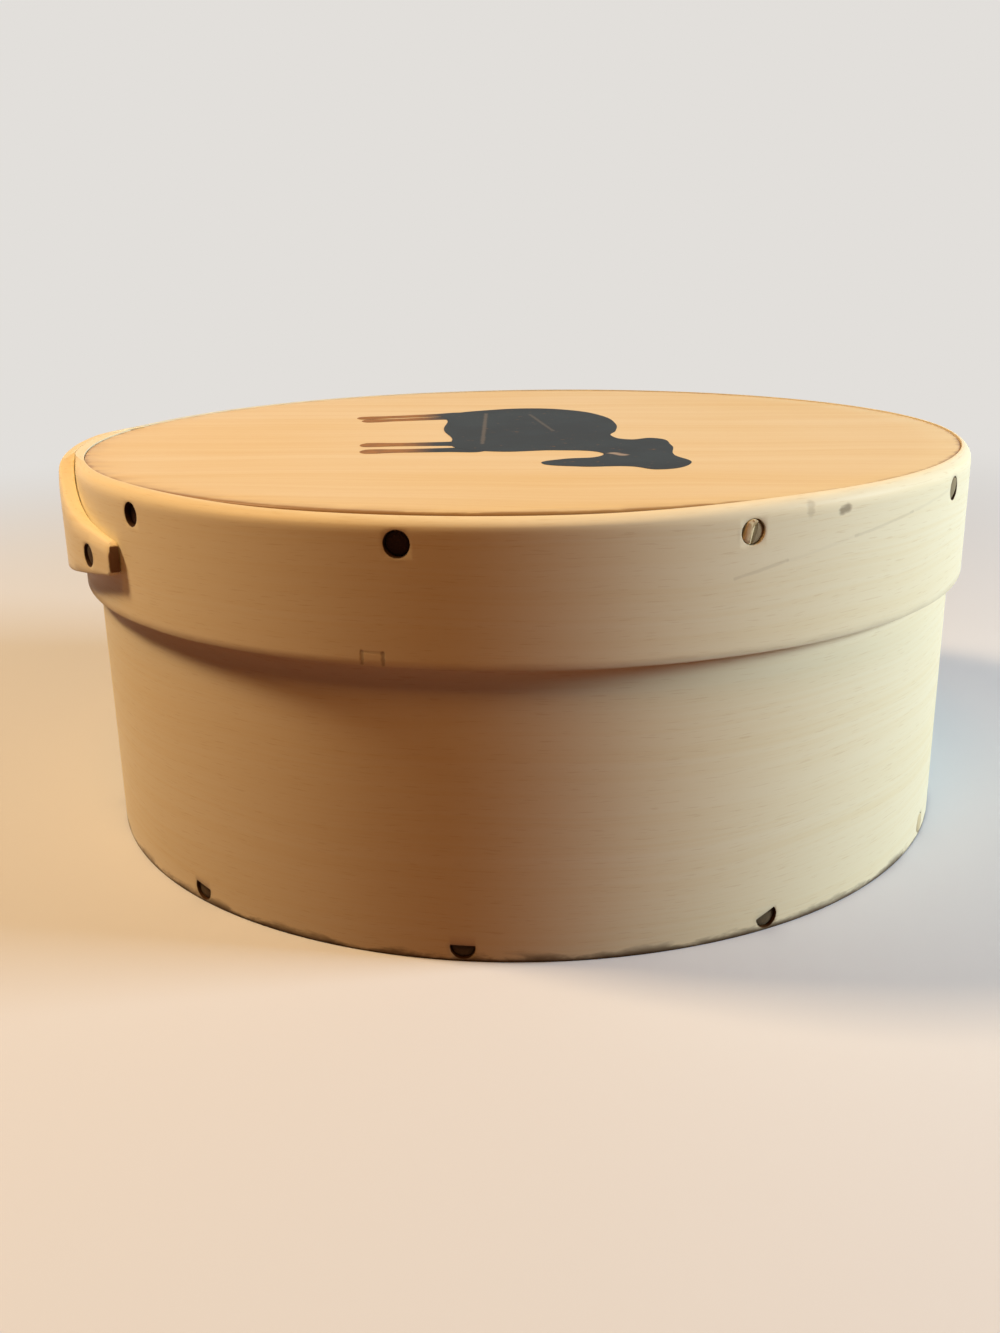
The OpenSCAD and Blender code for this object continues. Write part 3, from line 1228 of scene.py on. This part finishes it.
    def bored(self, edge: BMEdge) -> bool:
        """True for an edge of a peg hole.

        Args:
            edge: An edge of the flat strip.

        Returns:
            Whether it is one.
        """
        reach = self.bore * self.bore_slack
        ends = [Vector((vert.co.x, vert.co.y, 0.0)) for vert in edge.verts]
        return any(all((end - middle).length < reach for end in ends) for middle, _ in self.spots())

    def note_gaps(self, bm: BMesh) -> None:
        """Keeps each point's distance from the nearest hole's edge as an attribute.

        Args:
            bm: The flat strip.
        """
        spots = self.spots()
        layer = bm.verts.layers.float.new(HOLE_GAP)
        for vert in bm.verts:
            flat = Vector((vert.co.x, vert.co.y, 0.0))
            vert[layer] = min(hole.gap(flat - middle, self.bore) for middle, hole in spots)

    def showing(self, edge: BMEdge) -> bool:
        """True for an edge that is eased: not one of the rounded rim, nor one in a saw cut.

        Args:
            edge: An edge of the flat strip.

        Returns:
            Whether it is eased.
        """
        margin, cut_reach, lapped_crown = MM / 10.0, 2.0 * self.kerf, self.rim_round / 3.0
        middle = (edge.verts[0].co + edge.verts[1].co) / 2.0
        sawn = self.around - self.lead - self.step < middle.x < self.scarf_end() - margin
        in_cut = any(0.0 < abs(row - bound) and abs(middle.y - row) < cut_reach
                     for row, bound in ((self.finger.low, self.low), (self.finger.high, self.high)))
        crown = self.high - max(margin, lapped_crown if middle.x > self.around else 0.0)
        crowned = self.rim_round and middle.y > crown
        return not crowned and not (sawn and in_cut) and not self.bored(edge)

    def build(self, material: Material) -> None:
        """Cuts, drills, thickens and bends the strip.

        Args:
            material: Finish of the band.
        """
        sheet = FlatSheet.ruled(self.columns(), self.rows())
        finger, last = self.finger, self.scarf_end()
        narrow = finger.high < self.high or finger.low > self.low
        if narrow:
            sheet.drop(lambda at: at.x > last and not finger.low < at.y < finger.high)
        for edge, keep in ((finger.upper, Keep.BELOW), (finger.lower, Keep.ABOVE)):
            points = [Vector((self.tip - back, height, 0.0)) for back, height in edge]
            for start, end in zip(points, points[1:]):
                sheet.score(start, end, keep)
        for middle, hole in self.spots():
            sheet.drill(middle.x, middle.y, self.bore, self.bore_half, hole.side)
        if narrow:
            sheet.free(finger.high, self.around - self.lead, self.kerf)
            sheet.free(finger.low, self.around - self.lead, -self.kerf)
        sheet.thicken(self.strip)
        sheet.ease(self.bore_eased, self.bored)
        sheet.ease(self.eased, self.showing)
        self.note_gaps(sheet.bm)
        sheet.bend(self.place)
        finished(sheet.bm, self.name, material, self.body, Slot.BAND, self.node)


@dataclass
class RoundBoard:
    """Round board with eased edges and a bore for each peg in its rim."""

    name: str
    node: str
    body: Body
    turns: Sequence[float]
    bore: float
    bore_half: float
    bore_depth: float
    round_high: float
    round_low: float
    step: float = 3.2 * MM
    rings: int = 11
    edge_cuts: int = 3
    low: float = field(init=False)
    high: float = field(init=False)
    radius: float = field(init=False)

    def __post_init__(self) -> None:
        """Takes the board's size from its node."""
        lowest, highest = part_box(self.node)
        self.low, self.high, self.radius = lowest.z, highest.z, highest.x

    def build(self, material: Material) -> None:
        """Drills the rim while it is flat, closes it into a ring and covers it.

        Args:
            material: Finish of the board.
        """
        around = 2.0 * math.pi * self.radius
        first = math.radians(self.turns[0] - FULL_TURN / len(self.turns) / 2.0)
        places = [(math.radians(turn) - first) % (2.0 * math.pi) * self.radius for turn in self.turns]
        middle = (self.low + self.high) / 2.0
        sheet = FlatSheet.ruled(ladder(0.0, around, self.step, places, self.bore_half),
                                ladder(self.low, self.high, self.step, [middle], self.bore_half))
        for place in places:
            rim = sheet.drill(place, middle, self.bore, self.bore_half)
            sheet.sink(rim, self.bore_depth)
        sheet.bend(lambda flat: polar(self.radius + flat.z, first + flat.x / self.radius, flat.y))
        bm = sheet.bm
        bmesh.ops.remove_doubles(bm, verts=bm.verts[:], dist=NEAR)
        for height, offset in ((self.high, self.round_high), (self.low, self.round_low)):
            self.cover(bm, height, offset)
        turned_out(bm)
        finished(bm, self.name, material, self.body, Slot.BOARD, self.node)

    def cover(self, bm: BMesh, height: float, offset: float) -> None:
        """Fills one face of the board, rounds its edge and rules it in rings.

        Args:
            bm: The board's rim.
            height: Height of the face.
            offset: Radius of the eased edge.
        """
        loop = [edge for edge in bm.edges if edge.is_boundary
                and all(abs(vert.co.z - height) < NEAR for vert in edge.verts)]
        bmesh.ops.edgeloop_fill(bm, edges=loop)
        bmesh.ops.recalc_face_normals(bm, faces=bm.faces[:])
        rounded(bm, loop, offset, self.edge_cuts)
        face = max((f for f in bm.faces if abs(f.calc_center_median().z - height) < NEAR),
                   key=lambda f: len(f.verts))
        for ring in range(self.rings, 0, -1):
            face = raised(bm, face)
            inward = ring / (ring + 1.0)
            bmesh.ops.scale(bm, verts=face.verts[:], vec=(inward, inward, 1.0))
        bmesh.ops.poke(bm, faces=[face])


@dataclass(frozen=True)
class PegCut:
    """How a peg was cut: slant of its end in degrees, flat sides, paleness and depth in its hole."""

    slant: float = 0.0
    sides: Sequence[FlatSide] = ()
    paleness: float = 0.0
    recess: float = 1.2 * MM


@dataclass(frozen=True)
class Peg:
    """One whittled peg: its turn in degrees, height, radius of its inner end and of the wood's face."""

    turn: float
    height: float
    inner: float
    skin: float
    cut: PegCut = PegCut()

    @property
    def length(self) -> float:
        """Length from the pointed end to the end that shows."""
        return self.skin - self.cut.recess - self.inner


@dataclass
class PegSet:
    """Pegs of one node."""

    name: str
    node: str
    body: Body
    pegs: Sequence[Peg]
    radius: float
    facets: int = 18
    eased: float = 0.3 * MM
    point: float = 2.0 * MM
    point_share: float = 0.5

    def build(self, material: Material) -> None:
        """Whittles all the pegs in one mesh.

        Args:
            material: Finish of the pegs.
        """
        bm = bmesh.new()
        tone = bm.verts.layers.float.new(PEG_TONE)
        for peg in self.pegs:
            before = set(bm.verts)
            self.whittle(bm, peg)
            for vert in set(bm.verts) - before:
                vert[tone] = peg.cut.paleness
        finished(bm, self.name, material, self.body, Slot.PEG, self.node)

    def whittle(self, bm: BMesh, peg: Peg) -> None:
        """Adds one peg: a shaft with a pointed inner end and a slanted, domed outer end.

        Args:
            bm: Mesh that takes the peg.
            peg: Its place and cut.
        """
        own = bmesh.new()
        bmesh.ops.create_circle(own, cap_ends=True, segments=self.facets,
                                radius=self.radius * self.point_share)
        end = own.faces[:][0]
        for rise, grow in ((self.point, 1.0 / self.point_share), (peg.length - self.point, 1.0)):
            end = raised(own, end)
            bmesh.ops.translate(own, verts=end.verts[:], vec=(0.0, 0.0, rise))
            bmesh.ops.scale(own, verts=end.verts[:], vec=(grow, grow, 1.0))
        for side in peg.cut.sides:
            flat = Vector((-side.outward.y, side.outward.x, 0.0))
            cut = bmesh.ops.bisect_plane(own, geom=own.verts[:] + own.edges[:] + own.faces[:],
                                         dist=CUT_NEAR, plane_co=flat * self.radius * side.share,
                                         plane_no=flat, clear_outer=True)["geom_cut"]
            bmesh.ops.edgeloop_fill(own, edges=[part for part in cut if isinstance(part, BMEdge)])
            turned_out(own)
            end = max(own.faces, key=lambda face: face.calc_center_median().z)
        top = end.calc_center_median()
        bmesh.ops.rotate(own, verts=end.verts[:], cent=top + Vector((self.radius, 0.0, 0.0)),
                         matrix=Matrix.Rotation(math.radians(peg.cut.slant), 3, "Y"))
        rounded(own, end.edges[:], self.eased)
        ends = [face for face in own.faces if face.calc_center_median().z > top.z - self.point]
        end = max(ends, key=lambda face: face.calc_area() * face.normal.z)
        inset, dome = self.radius / 6.0, self.eased / 3.0
        bmesh.ops.inset_region(own, faces=[end], thickness=inset, depth=dome)
        bmesh.ops.poke(own, faces=[end])
        turned_out(own)
        turned = Matrix.Rotation(math.radians(peg.turn), 4, "Z")
        inner = Matrix.Translation((peg.inner, 0.0, peg.height))
        laid = Matrix.Rotation(math.pi / 2.0, 4, "Y")
        bmesh.ops.transform(own, matrix=turned @ inner @ laid, verts=own.verts[:])
        mesh = bpy.data.meshes.new("whittled")
        own.to_mesh(mesh)
        own.free()
        bm.from_mesh(mesh)
        bpy.data.meshes.remove(mesh)


@dataclass
class PaintedSheep:
    """Plain folk figure of a standing sheep, painted flat on the lid board."""

    name: str
    board_high: float
    thickness: float = 0.05 * MM
    leg_share: float = 0.6
    gap: float = 0.01 * MM
    smoothness: int = 10
    outline: Sequence[Pair] = (
        (-44.0, -20.0), (-53.0, -9.0), (-56.0, 5.0), (-49.0, 17.0), (-35.0, 24.5), (-15.0, 27.0), (0.0, 25.5),
        (9.0, 23.5), (17.0, 27.5), (15.0, 33.5), (28.0, 36.5), (44.0, 35.0), (57.0, 37.0), (65.0, 29.0),
        (60.0, 23.0), (59.0, 12.0), (53.0, 3.5), (47.5, 9.0), (45.0, 17.0), (38.0, 18.0), (33.5, 8.0),
        (34.0, -6.0), (27.0, -16.0), (8.0, -18.0), (-8.0, -20.5), (-26.0, -20.0))
    legs: Sequence[tuple[float, float, float, float, float]] = (
        (-44.2, -15.0, -38.2, -46.0, 8.0), (-36.4, -15.0, -31.0, -44.0, 8.0),
        (19.0, -12.0, 18.5, -40.0, 8.2), (29.5, -10.0, 30.0, -39.0, 8.2))
    leg_shape: Sequence[Pair] = (
        (0.0, 0.46), (0.3, 0.42), (0.75, 0.37), (0.93, 0.44), (1.0, 0.36))

    def build(self, material: Material) -> None:
        """Fills the outline and the legs as a thin layer of paint.

        Args:
            material: The paint.
        """
        bm = bmesh.new()
        for leg in self.legs:
            self.fill(bm, self.leg(*leg))
        thickened(bm, bm.faces[:], self.thickness * self.leg_share)
        legs = set(bm.faces)
        self.fill(bm, self.outline)
        thickened(bm, [face for face in bm.faces if face not in legs], self.thickness)
        bmesh.ops.translate(bm, verts=bm.verts[:], vec=(0.0, 0.0, self.board_high + self.gap))
        bmesh.ops.recalc_face_normals(bm, faces=bm.faces[:])
        finished(bm, self.name, material, Body.LID, Slot.PAINT)

    def fill(self, bm: BMesh, points: Sequence[Pair]) -> None:
        """Adds a flat shape with a smooth outline. The feet are towards -X, and it walks towards -Y.

        Args:
            bm: Mesh that takes the shape.
            points: Points of its outline in mm, forward and up.
        """
        curve = bpy.data.curves.new(self.name, "CURVE")
        curve.dimensions, curve.fill_mode, curve.resolution_u = "2D", "BOTH", self.smoothness
        spline = curve.splines.new("BEZIER")
        spline.bezier_points.add(len(points) - 1)
        for knot, (forward, up) in zip(spline.bezier_points, points):
            knot.co = (up * MM, -forward * MM, 0.0)
            knot.handle_left_type = knot.handle_right_type = "AUTO"
        spline.use_cyclic_u = True
        drawn = placed(self.name, curve)
        bpy.context.view_layer.update()
        mesh = bpy.data.meshes.new_from_object(drawn.evaluated_get(bpy.context.evaluated_depsgraph_get()))
        bm.from_mesh(mesh)
        bpy.data.objects.remove(drawn)
        bpy.data.curves.remove(curve)
        bpy.data.meshes.remove(mesh)
        bmesh.ops.remove_doubles(bm, verts=bm.verts[:], dist=NEAR)

    def leg(self, forward: float, up: float, foot_forward: float, foot_up: float,
            width: float) -> list[Pair]:
        """Outline of one leg: narrower towards its ankle, with a hoof.

        Args:
            forward: How far forward the root is, in mm.
            up: How high the root is.
            foot_forward: How far forward the foot is.
            foot_up: How high the foot is.
            width: Full width that the shape is a share of.

        Returns:
            Points of the outline, forward and up.
        """
        root = Vector((forward, up))
        reach = Vector((foot_forward, foot_up)) - root
        side = Vector((-reach.y, reach.x)).normalized() * width
        left = [root + reach * along + side * half for along, half in self.leg_shape]
        right = [root + reach * along - side * half for along, half in self.leg_shape]
        return [tuple(point) for point in left + right[::-1]]


@dataclass
class PeggedBody:
    """A bent band that is pegged to the edge of its round board."""

    effects: Effects
    peg_finish: Material
    body: Body
    strip: float
    lap_turn: float
    peg_turn: float
    bore_half: float
    lap_cut: PegCut
    board_rounds: Pair
    peg_pitch: float = 34.6
    peg_count: int = 10
    peg_length: float = 16.0 * MM
    peg_recess: float = 1.2 * MM
    bore_gap: float = 0.1 * MM
    lap_point: float = 0.6 * MM
    lap_point_share: float = 0.9
    peg_radius: float = field(init=False)
    peg_z: float = field(init=False)
    turns: list[float] = field(init=False)

    def __post_init__(self) -> None:
        """Takes the size of the pegs from their node, and sets them out round the board."""
        lowest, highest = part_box(f"{self.body.value}_pegs")
        self.peg_radius, self.peg_z = (highest.z - lowest.z) / 2.0, (lowest.z + highest.z) / 2.0
        self.turns = [self.peg_turn + self.peg_pitch * count for count in range(self.peg_count)]

    @property
    def bore(self) -> float:
        """Radius of the peg holes."""
        return self.peg_radius + self.bore_gap

    def lap_place(self, radius: float, back: float) -> float:
        """Turn of a place on the lap, by its length back from the finger's tip."""
        return self.lap_turn + math.degrees((BentBand.lap / 2.0 - back) / radius)

    def peg_end(self, radius: float) -> float:
        """Radius of the inner ends of the pegs in a band of a radius."""
        return radius - self.peg_recess - self.peg_length

    def fit_board(self, name: str, node: str, wood: BoardWood) -> float:
        """Builds the board with a bore for each peg.

        Args:
            name: Name of the piece.
            node: Node that it stands for.
            wood: Its finish.

        Returns:
            The height of its upper face.
        """
        depth = self.peg_length - self.strip - self.peg_recess
        board = RoundBoard(name, node, self.body, self.turns, self.bore, self.bore_half, depth,
                           *self.board_rounds)
        board.build(wood.make(self.effects, board.radius))
        return board.high

    def drive(self, pegs: Sequence[Peg], band: BentBand, lap_places: Sequence[Pair]) -> None:
        """Builds the pegs.

        Args:
            pegs: Those that hold the board.
            band: The band.
            lap_places: Turn and height of each of those that hold its lap.
        """
        name = self.body.value
        PegSet(f"{name}_peg_ends", f"{name}_pegs", self.body, pegs, self.peg_radius).build(self.peg_finish)
        short = [Peg(turn, height, band.radius - self.strip, band.skin(turn), self.lap_cut)
                 for turn, height in lap_places]
        PegSet(f"{name}_lap_peg_ends", f"{name}_lap_pegs", self.body, short, self.peg_radius,
               point=self.lap_point, point_share=self.lap_point_share).build(self.peg_finish)


@dataclass
class BoxBody(PeggedBody):
    """The box: its band, bottom board and pegs."""

    body: Body = Body.BOX
    strip: float = 3.0 * MM
    lap_turn: float = 125.0
    peg_turn: float = 123.4
    bore_half: float = 2.85 * MM
    lap_cut: PegCut = PegCut()
    board_rounds: Pair = (0.5 * MM, 0.5 * MM)
    board_turn: float = 52.0
    lap_foot: float = 8.0 * MM
    lap_clear: float = 6.0 * MM
    tip_high: float = 14.0 * MM
    taper: float = 62.0 * MM
    lap_peg_tip: float = 17.0 * MM
    lap_peg_root: float = 60.0 * MM
    lap_peg_spread: float = 13.0 * MM
    peg_sides: Sequence[FlatSide] = (
        FlatSide(0.4, 12.0), ROUND, FlatSide(0.5, -15.0), FlatSide(0.35, 10.0), FlatSide(0.15, 0.0),
        FlatSide(0.3, -24.0), ROUND, FlatSide(0.4, 14.0), ROUND, FlatSide(0.5, -8.0))
    peg_cut: PegCut = PegCut(0.0, (), 0.14, 0.8 * MM)
    snug_peg: int = 6
    snug_cut: PegCut = PegCut(0.0, (), 0.8, 0.1 * MM)
    # The box's dark foot line is a painted contact shadow, and its bore colour a painted shade in the peg
    # holes.
    wood: BandWood = BandWood("box_band_wood", dirt_and_shade=shade(62, 38, 20), bore_shade=shade(64, 40, 18),
                              foot=(2.0 * MM, 0.97))

    def build(self) -> None:
        """Builds and dresses all the pieces of the box."""
        lowest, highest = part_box("box_band")
        # The lap stands out at the back, so the front gives the plain radius.
        radius = -lowest.y
        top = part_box("lid_band")[0].z - self.lap_clear
        middle, half_tip = (self.lap_foot + top) / 2.0, self.tip_high / 2.0
        tip_turn, root_turn = (self.lap_place(radius, back) for back in (self.lap_peg_tip, self.lap_peg_root))
        lap_places = [(tip_turn, middle), (root_turn, middle - self.lap_peg_spread),
                      (root_turn, middle + self.lap_peg_spread)]
        snug = self.turns[self.snug_peg]
        holes = [Hole(turn, self.peg_z, False, side, BentBand.bore_shade_and_dirt_gap * (turn == snug))
                 for turn, side in zip(self.turns, self.peg_sides)]
        holes += [Hole(turn, height, True) for turn, height in lap_places]
        band = BentBand(
            "box_strip", "box_band", self.body, radius, lowest.z, highest.z, self.strip, self.lap_turn,
            Finger(((self.taper, top), (0.0, middle + half_tip)),
                   ((self.taper, self.lap_foot), (0.0, middle - half_tip))),
            holes, self.bore, self.bore_half, ragged=0.0)
        band.build(self.wood.make(self.effects, lowest.z, highest.z, band.tip, []))
        self.fit_board("box_bottom", "bottom_board", BoardWood("bottom_wood", turn=self.board_turn))
        cuts = [replace(self.peg_cut, sides=() if side is ROUND else (side,)) for side in self.peg_sides]
        pegs = [Peg(turn, self.peg_z, self.peg_end(radius), radius, self.snug_cut if turn == snug else cut)
                for turn, cut in zip(self.turns, cuts)]
        self.drive(pegs, band, lap_places)


@dataclass
class LidBody(PeggedBody):
    """The lid: its band, board, pegs and painted figure."""

    body: Body = Body.LID
    strip: float = 2.4 * MM
    lap_turn: float = -162.7
    peg_turn: float = -172.4
    bore_half: float = 3.2 * MM
    lap_cut: PegCut = PegCut(4.0, (), 0.05, 0.8 * MM)
    board_rounds: Pair = (0.8 * MM, 0.5 * MM)
    lap_bow: float = 0.05 * MM
    lap_swell: float = 1.4 * MM
    tip_pare: float = 1.2 * MM
    edge_round: float = 0.9 * MM
    eased: float = 0.42 * MM
    tip_height: float = 7.3 * MM
    tip_rise: float = 10.3 * MM
    tip_round: float = 0.9 * MM
    taper_high: float = 54.0 * MM
    taper_low: float = 72.0 * MM
    sweep: Sequence[Pair] = ((40.0, 25.9), (29.0, 22.4), (18.5, 19.9), (9.0, 18.6))
    rim_round: float = 3.5 * MM
    rim_worn: float = 0.8 * MM
    peg_cuts: Sequence[PegCut] = (
        PegCut(3.0), PegCut(-5.0), PegCut(4.0),
        PegCut(2.0, (FlatSide(0.0, 103.0), FlatSide(0.72, -77.0)), 1.0, 0.1 * MM),
        PegCut(7.0, (), 0.35, 0.6 * MM), PegCut(-3.0), PegCut(3.0), PegCut(-5.0), PegCut(4.0), PegCut(2.0))
    split_peg: int = 3
    split_cut: PegCut = PegCut(2.0, (FlatSide(-0.06, -77.0),), 0.4, 0.7 * MM)
    lap_peg_tip: float = 11.6 * MM
    lap_peg_rise: float = 13.1 * MM
    wood: BandWood = BandWood("lid_band_wood")
    marks: Sequence[ThinMark] = (
        ThinMark((-70.5, 79.9), (-64.5, 82.3), 0.5 * MM, 0.13),
        ThinMark((-64.5, 82.1), (-55.1, 85.1), 0.5 * MM, 0.04),
        ThinMark((-55.5, 84.9), (-45.5, 87.1), 0.5 * MM, 0.12),
        ThinMark((-46.0, 87.1), (-35.8, 89.0), 0.5 * MM, 0.06),
        ThinMark((-105.0, 64.9), (-105.0, 67.2), 0.6 * MM, 0.42),
        ThinMark((-107.2, 65.0), (-107.2, 67.3), 0.6 * MM, 0.38),
        ThinMark((-105.0, 67.2), (-107.2, 67.3), 0.4 * MM, 0.15),
        ThinMark((-61.9, 91.2), (-61.8, 92.6), 1.3 * MM, 0.2),
        ThinMark((-57.6, 90.6), (-56.9, 90.9), 1.4 * MM, 0.55))
    scratches: Sequence[ThinMark] = (
        ThinMark((-9.0, 44.0), (-10.0, -20.0), 0.8 * MM, 0.22),
        ThinMark((4.0, 40.0), (9.0, 2.0), 0.7 * MM, 0.16),
        ThinMark((21.0, -40.0), (23.0, -43.0), 1.8 * MM, 0.9))

    def build(self) -> None:
        """Builds and dresses all the pieces of the lid."""
        lowest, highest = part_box("lid_band")
        # The lap stands out at the left, so the right gives the plain radius.
        radius = highest.x
        lap_z = lowest.z + self.lap_peg_rise
        lap_places = [(self.lap_place(radius, self.lap_peg_tip), lap_z), (self.peg_turn, lap_z)]
        split = self.turns[self.split_peg]
        holes = [Hole(turn, self.peg_z, turn == self.peg_turn, shade_and_dirt_gap=BentBand.bore_shade_and_dirt_gap * (turn == split))
                 for turn in self.turns]
        holes += [Hole(turn, height, True) for turn, height in lap_places]
        band = BentBand(
            "lid_strip", "lid_band", self.body, radius, lowest.z, highest.z, self.strip, self.lap_turn,
            self.finger(lowest.z, highest.z), holes, self.bore, self.bore_half, rim_round=self.rim_round,
            rim_worn=self.rim_worn, edge_round=self.edge_round, bow=self.lap_bow, swell=self.lap_swell,
            eased=self.eased, tip_pare=self.tip_pare)
        marks = [(*(Vector((band.along(turn), height * MM, 0.0)) for turn, height in mark.ends), mark)
                 for mark in self.marks]
        band.build(self.wood.make(self.effects, lowest.z, highest.z, band.tip, marks))
        board_high = self.fit_board("lid_top", "lid_board", BoardWood("lid_wood"))
        inner = self.peg_end(radius)
        pegs = [Peg(turn, self.peg_z, inner, band.skin(turn) if turn == self.peg_turn else radius, cut)
                for turn, cut in zip(self.turns, self.peg_cuts)]
        pegs.append(Peg(split, self.peg_z, inner, radius, self.split_cut))
        self.drive(pegs, band, lap_places)
        scratches = [(*(Vector((*end, 0.0)) * MM for end in mark.ends), mark) for mark in self.scratches]
        PaintedSheep("painted_sheep", board_high).build(WornPaint().make(self.effects, scratches))

    def finger(self, low: float, high: float) -> Finger:
        """Outline of the lap's finger on a band between two heights.

        Args:
            low: Height of the band's lower edge.
            high: Height of its upper edge.

        Returns:
            The outline.
        """
        tip_low = low + self.tip_rise
        tip_high = tip_low + self.tip_height
        swept = [(back * MM, low + rise * MM) for back, rise in self.sweep]
        return Finger(
            ((self.taper_high, high), *swept, (self.tip_round, tip_high), (0.0, tip_high - self.tip_round)),
            ((self.taper_low, low), (self.tip_round, tip_low), (0.0, tip_low + self.tip_round)))


@dataclass(frozen=True)
class Lamp:
    """Soft studio lamp: its place, width, power and colour."""

    name: str
    place: Triple
    width: float
    power: float
    colour: Triple


@dataclass
class Studio:
    """Plain pale floor, soft lamps, and the camera at the photograph's angle."""

    camera_place: Triple = (-0.008505, -0.34401, 0.13942)
    pitch: float = 0.3109
    roll: float = 0.0174
    yaw: float = 0.0061
    lens: float = 34.54
    sensor: float = 36.0
    floor_reach: float = 6.0
    view_reach: float = 60.0
    aim: Triple = (0.0, 0.0, 0.05)
    world_colour: Colour = (1.0, 0.6, 0.3, 1.0)
    world_light: float = 0.015
    lamps: Sequence[Lamp] = (
        Lamp("key_right", (1.04, -0.137, 0.42), 0.36, 13.8, (0.82, 0.93, 0.96)),
        Lamp("left_high", (-0.77, 0.06, 0.92), 0.2, 12.0, (1.0, 0.67, 0.36)),
        Lamp("top_front", (-0.1, -0.5, 1.15), 0.4, 4.4, (1.0, 0.43, 0.1)))

    def build(self) -> None:
        """Sets up the floor, the light and the camera."""
        bpy.context.scene.view_settings.view_transform = "Standard"
        self.floor()
        self.world()
        for lamp in self.lamps:
            self.light(lamp)
        self.camera()

    def floor(self) -> None:
        """Lays the pale floor."""
        bm = bmesh.new()
        bmesh.ops.create_grid(bm, x_segments=1, y_segments=1, size=self.floor_reach)
        mesh = bpy.data.meshes.new("floor")
        bm.to_mesh(mesh)
        bm.free()
        mesh.materials.append(PlainFloor().make())
        floor = placed("floor", mesh)

    def world(self) -> None:
        """Lights the scene evenly and shows a pale backdrop."""
        world = bpy.data.worlds.new("pale_room")
        bpy.context.scene.world = world
        world.use_nodes = True
        graph = Graph(world.node_tree)
        plain = world.node_tree.nodes["Background"]
        plain.inputs["Color"].default_value = self.world_colour
        plain.inputs["Strength"].default_value = self.world_light
        seen = graph.add("ShaderNodeBackground", {"Color": PlainFloor.backdrop, "Strength": 1.0})
        both = graph.add("ShaderNodeMixShader", {0: graph.seen(), 1: plain.outputs[0], 2: seen.outputs[0]})
        graph.feed(world.node_tree.nodes["World Output"].inputs["Surface"], both.outputs[0])

    def light(self, lamp: Lamp) -> None:
        """Hangs one square lamp that points at the box.

        Args:
            lamp: Its place and look.
        """
        data = bpy.data.lights.new(lamp.name, "AREA")
        data.shape, data.size, data.energy, data.color = "SQUARE", lamp.width, lamp.power, lamp.colour
        hung = placed(lamp.name, data)
        hung.location = lamp.place
        hung.rotation_euler = (Vector(self.aim) - Vector(lamp.place)).to_track_quat("-Z", "Y").to_euler()

    def camera(self) -> None:
        """Sets the camera where the photograph was taken from."""
        data = bpy.data.cameras.new("photo_camera")
        data.lens, data.sensor_width = self.lens, self.sensor
        data.clip_start, data.clip_end = MM, self.view_reach
        ahead = Vector((math.sin(self.yaw) * math.cos(self.pitch), math.cos(self.yaw) * math.cos(self.pitch),
                        -math.sin(self.pitch)))
        level = Vector((math.cos(self.yaw), -math.sin(self.yaw), 0.0))
        upright = level.cross(ahead)
        right = math.cos(self.roll) * level - math.sin(self.roll) * upright
        up = math.sin(self.roll) * level + math.cos(self.roll) * upright
        turned = Matrix((right, up, -ahead)).transposed().to_4x4()
        camera = placed("photo_camera", data)
        camera.matrix_world = Matrix.Translation(self.camera_place) @ turned
        bpy.context.scene.camera = camera


def main() -> None:
    """Builds the studio, the box and the lid."""
    logging.basicConfig(level=logging.INFO, format="%(message)s")
    Studio().build()
    effects = Effects()
    peg_finish = PegWood().make()
    BoxBody(effects, peg_finish).build()
    LidBody(effects, peg_finish).build()


if __name__ == "__main__":
    main()
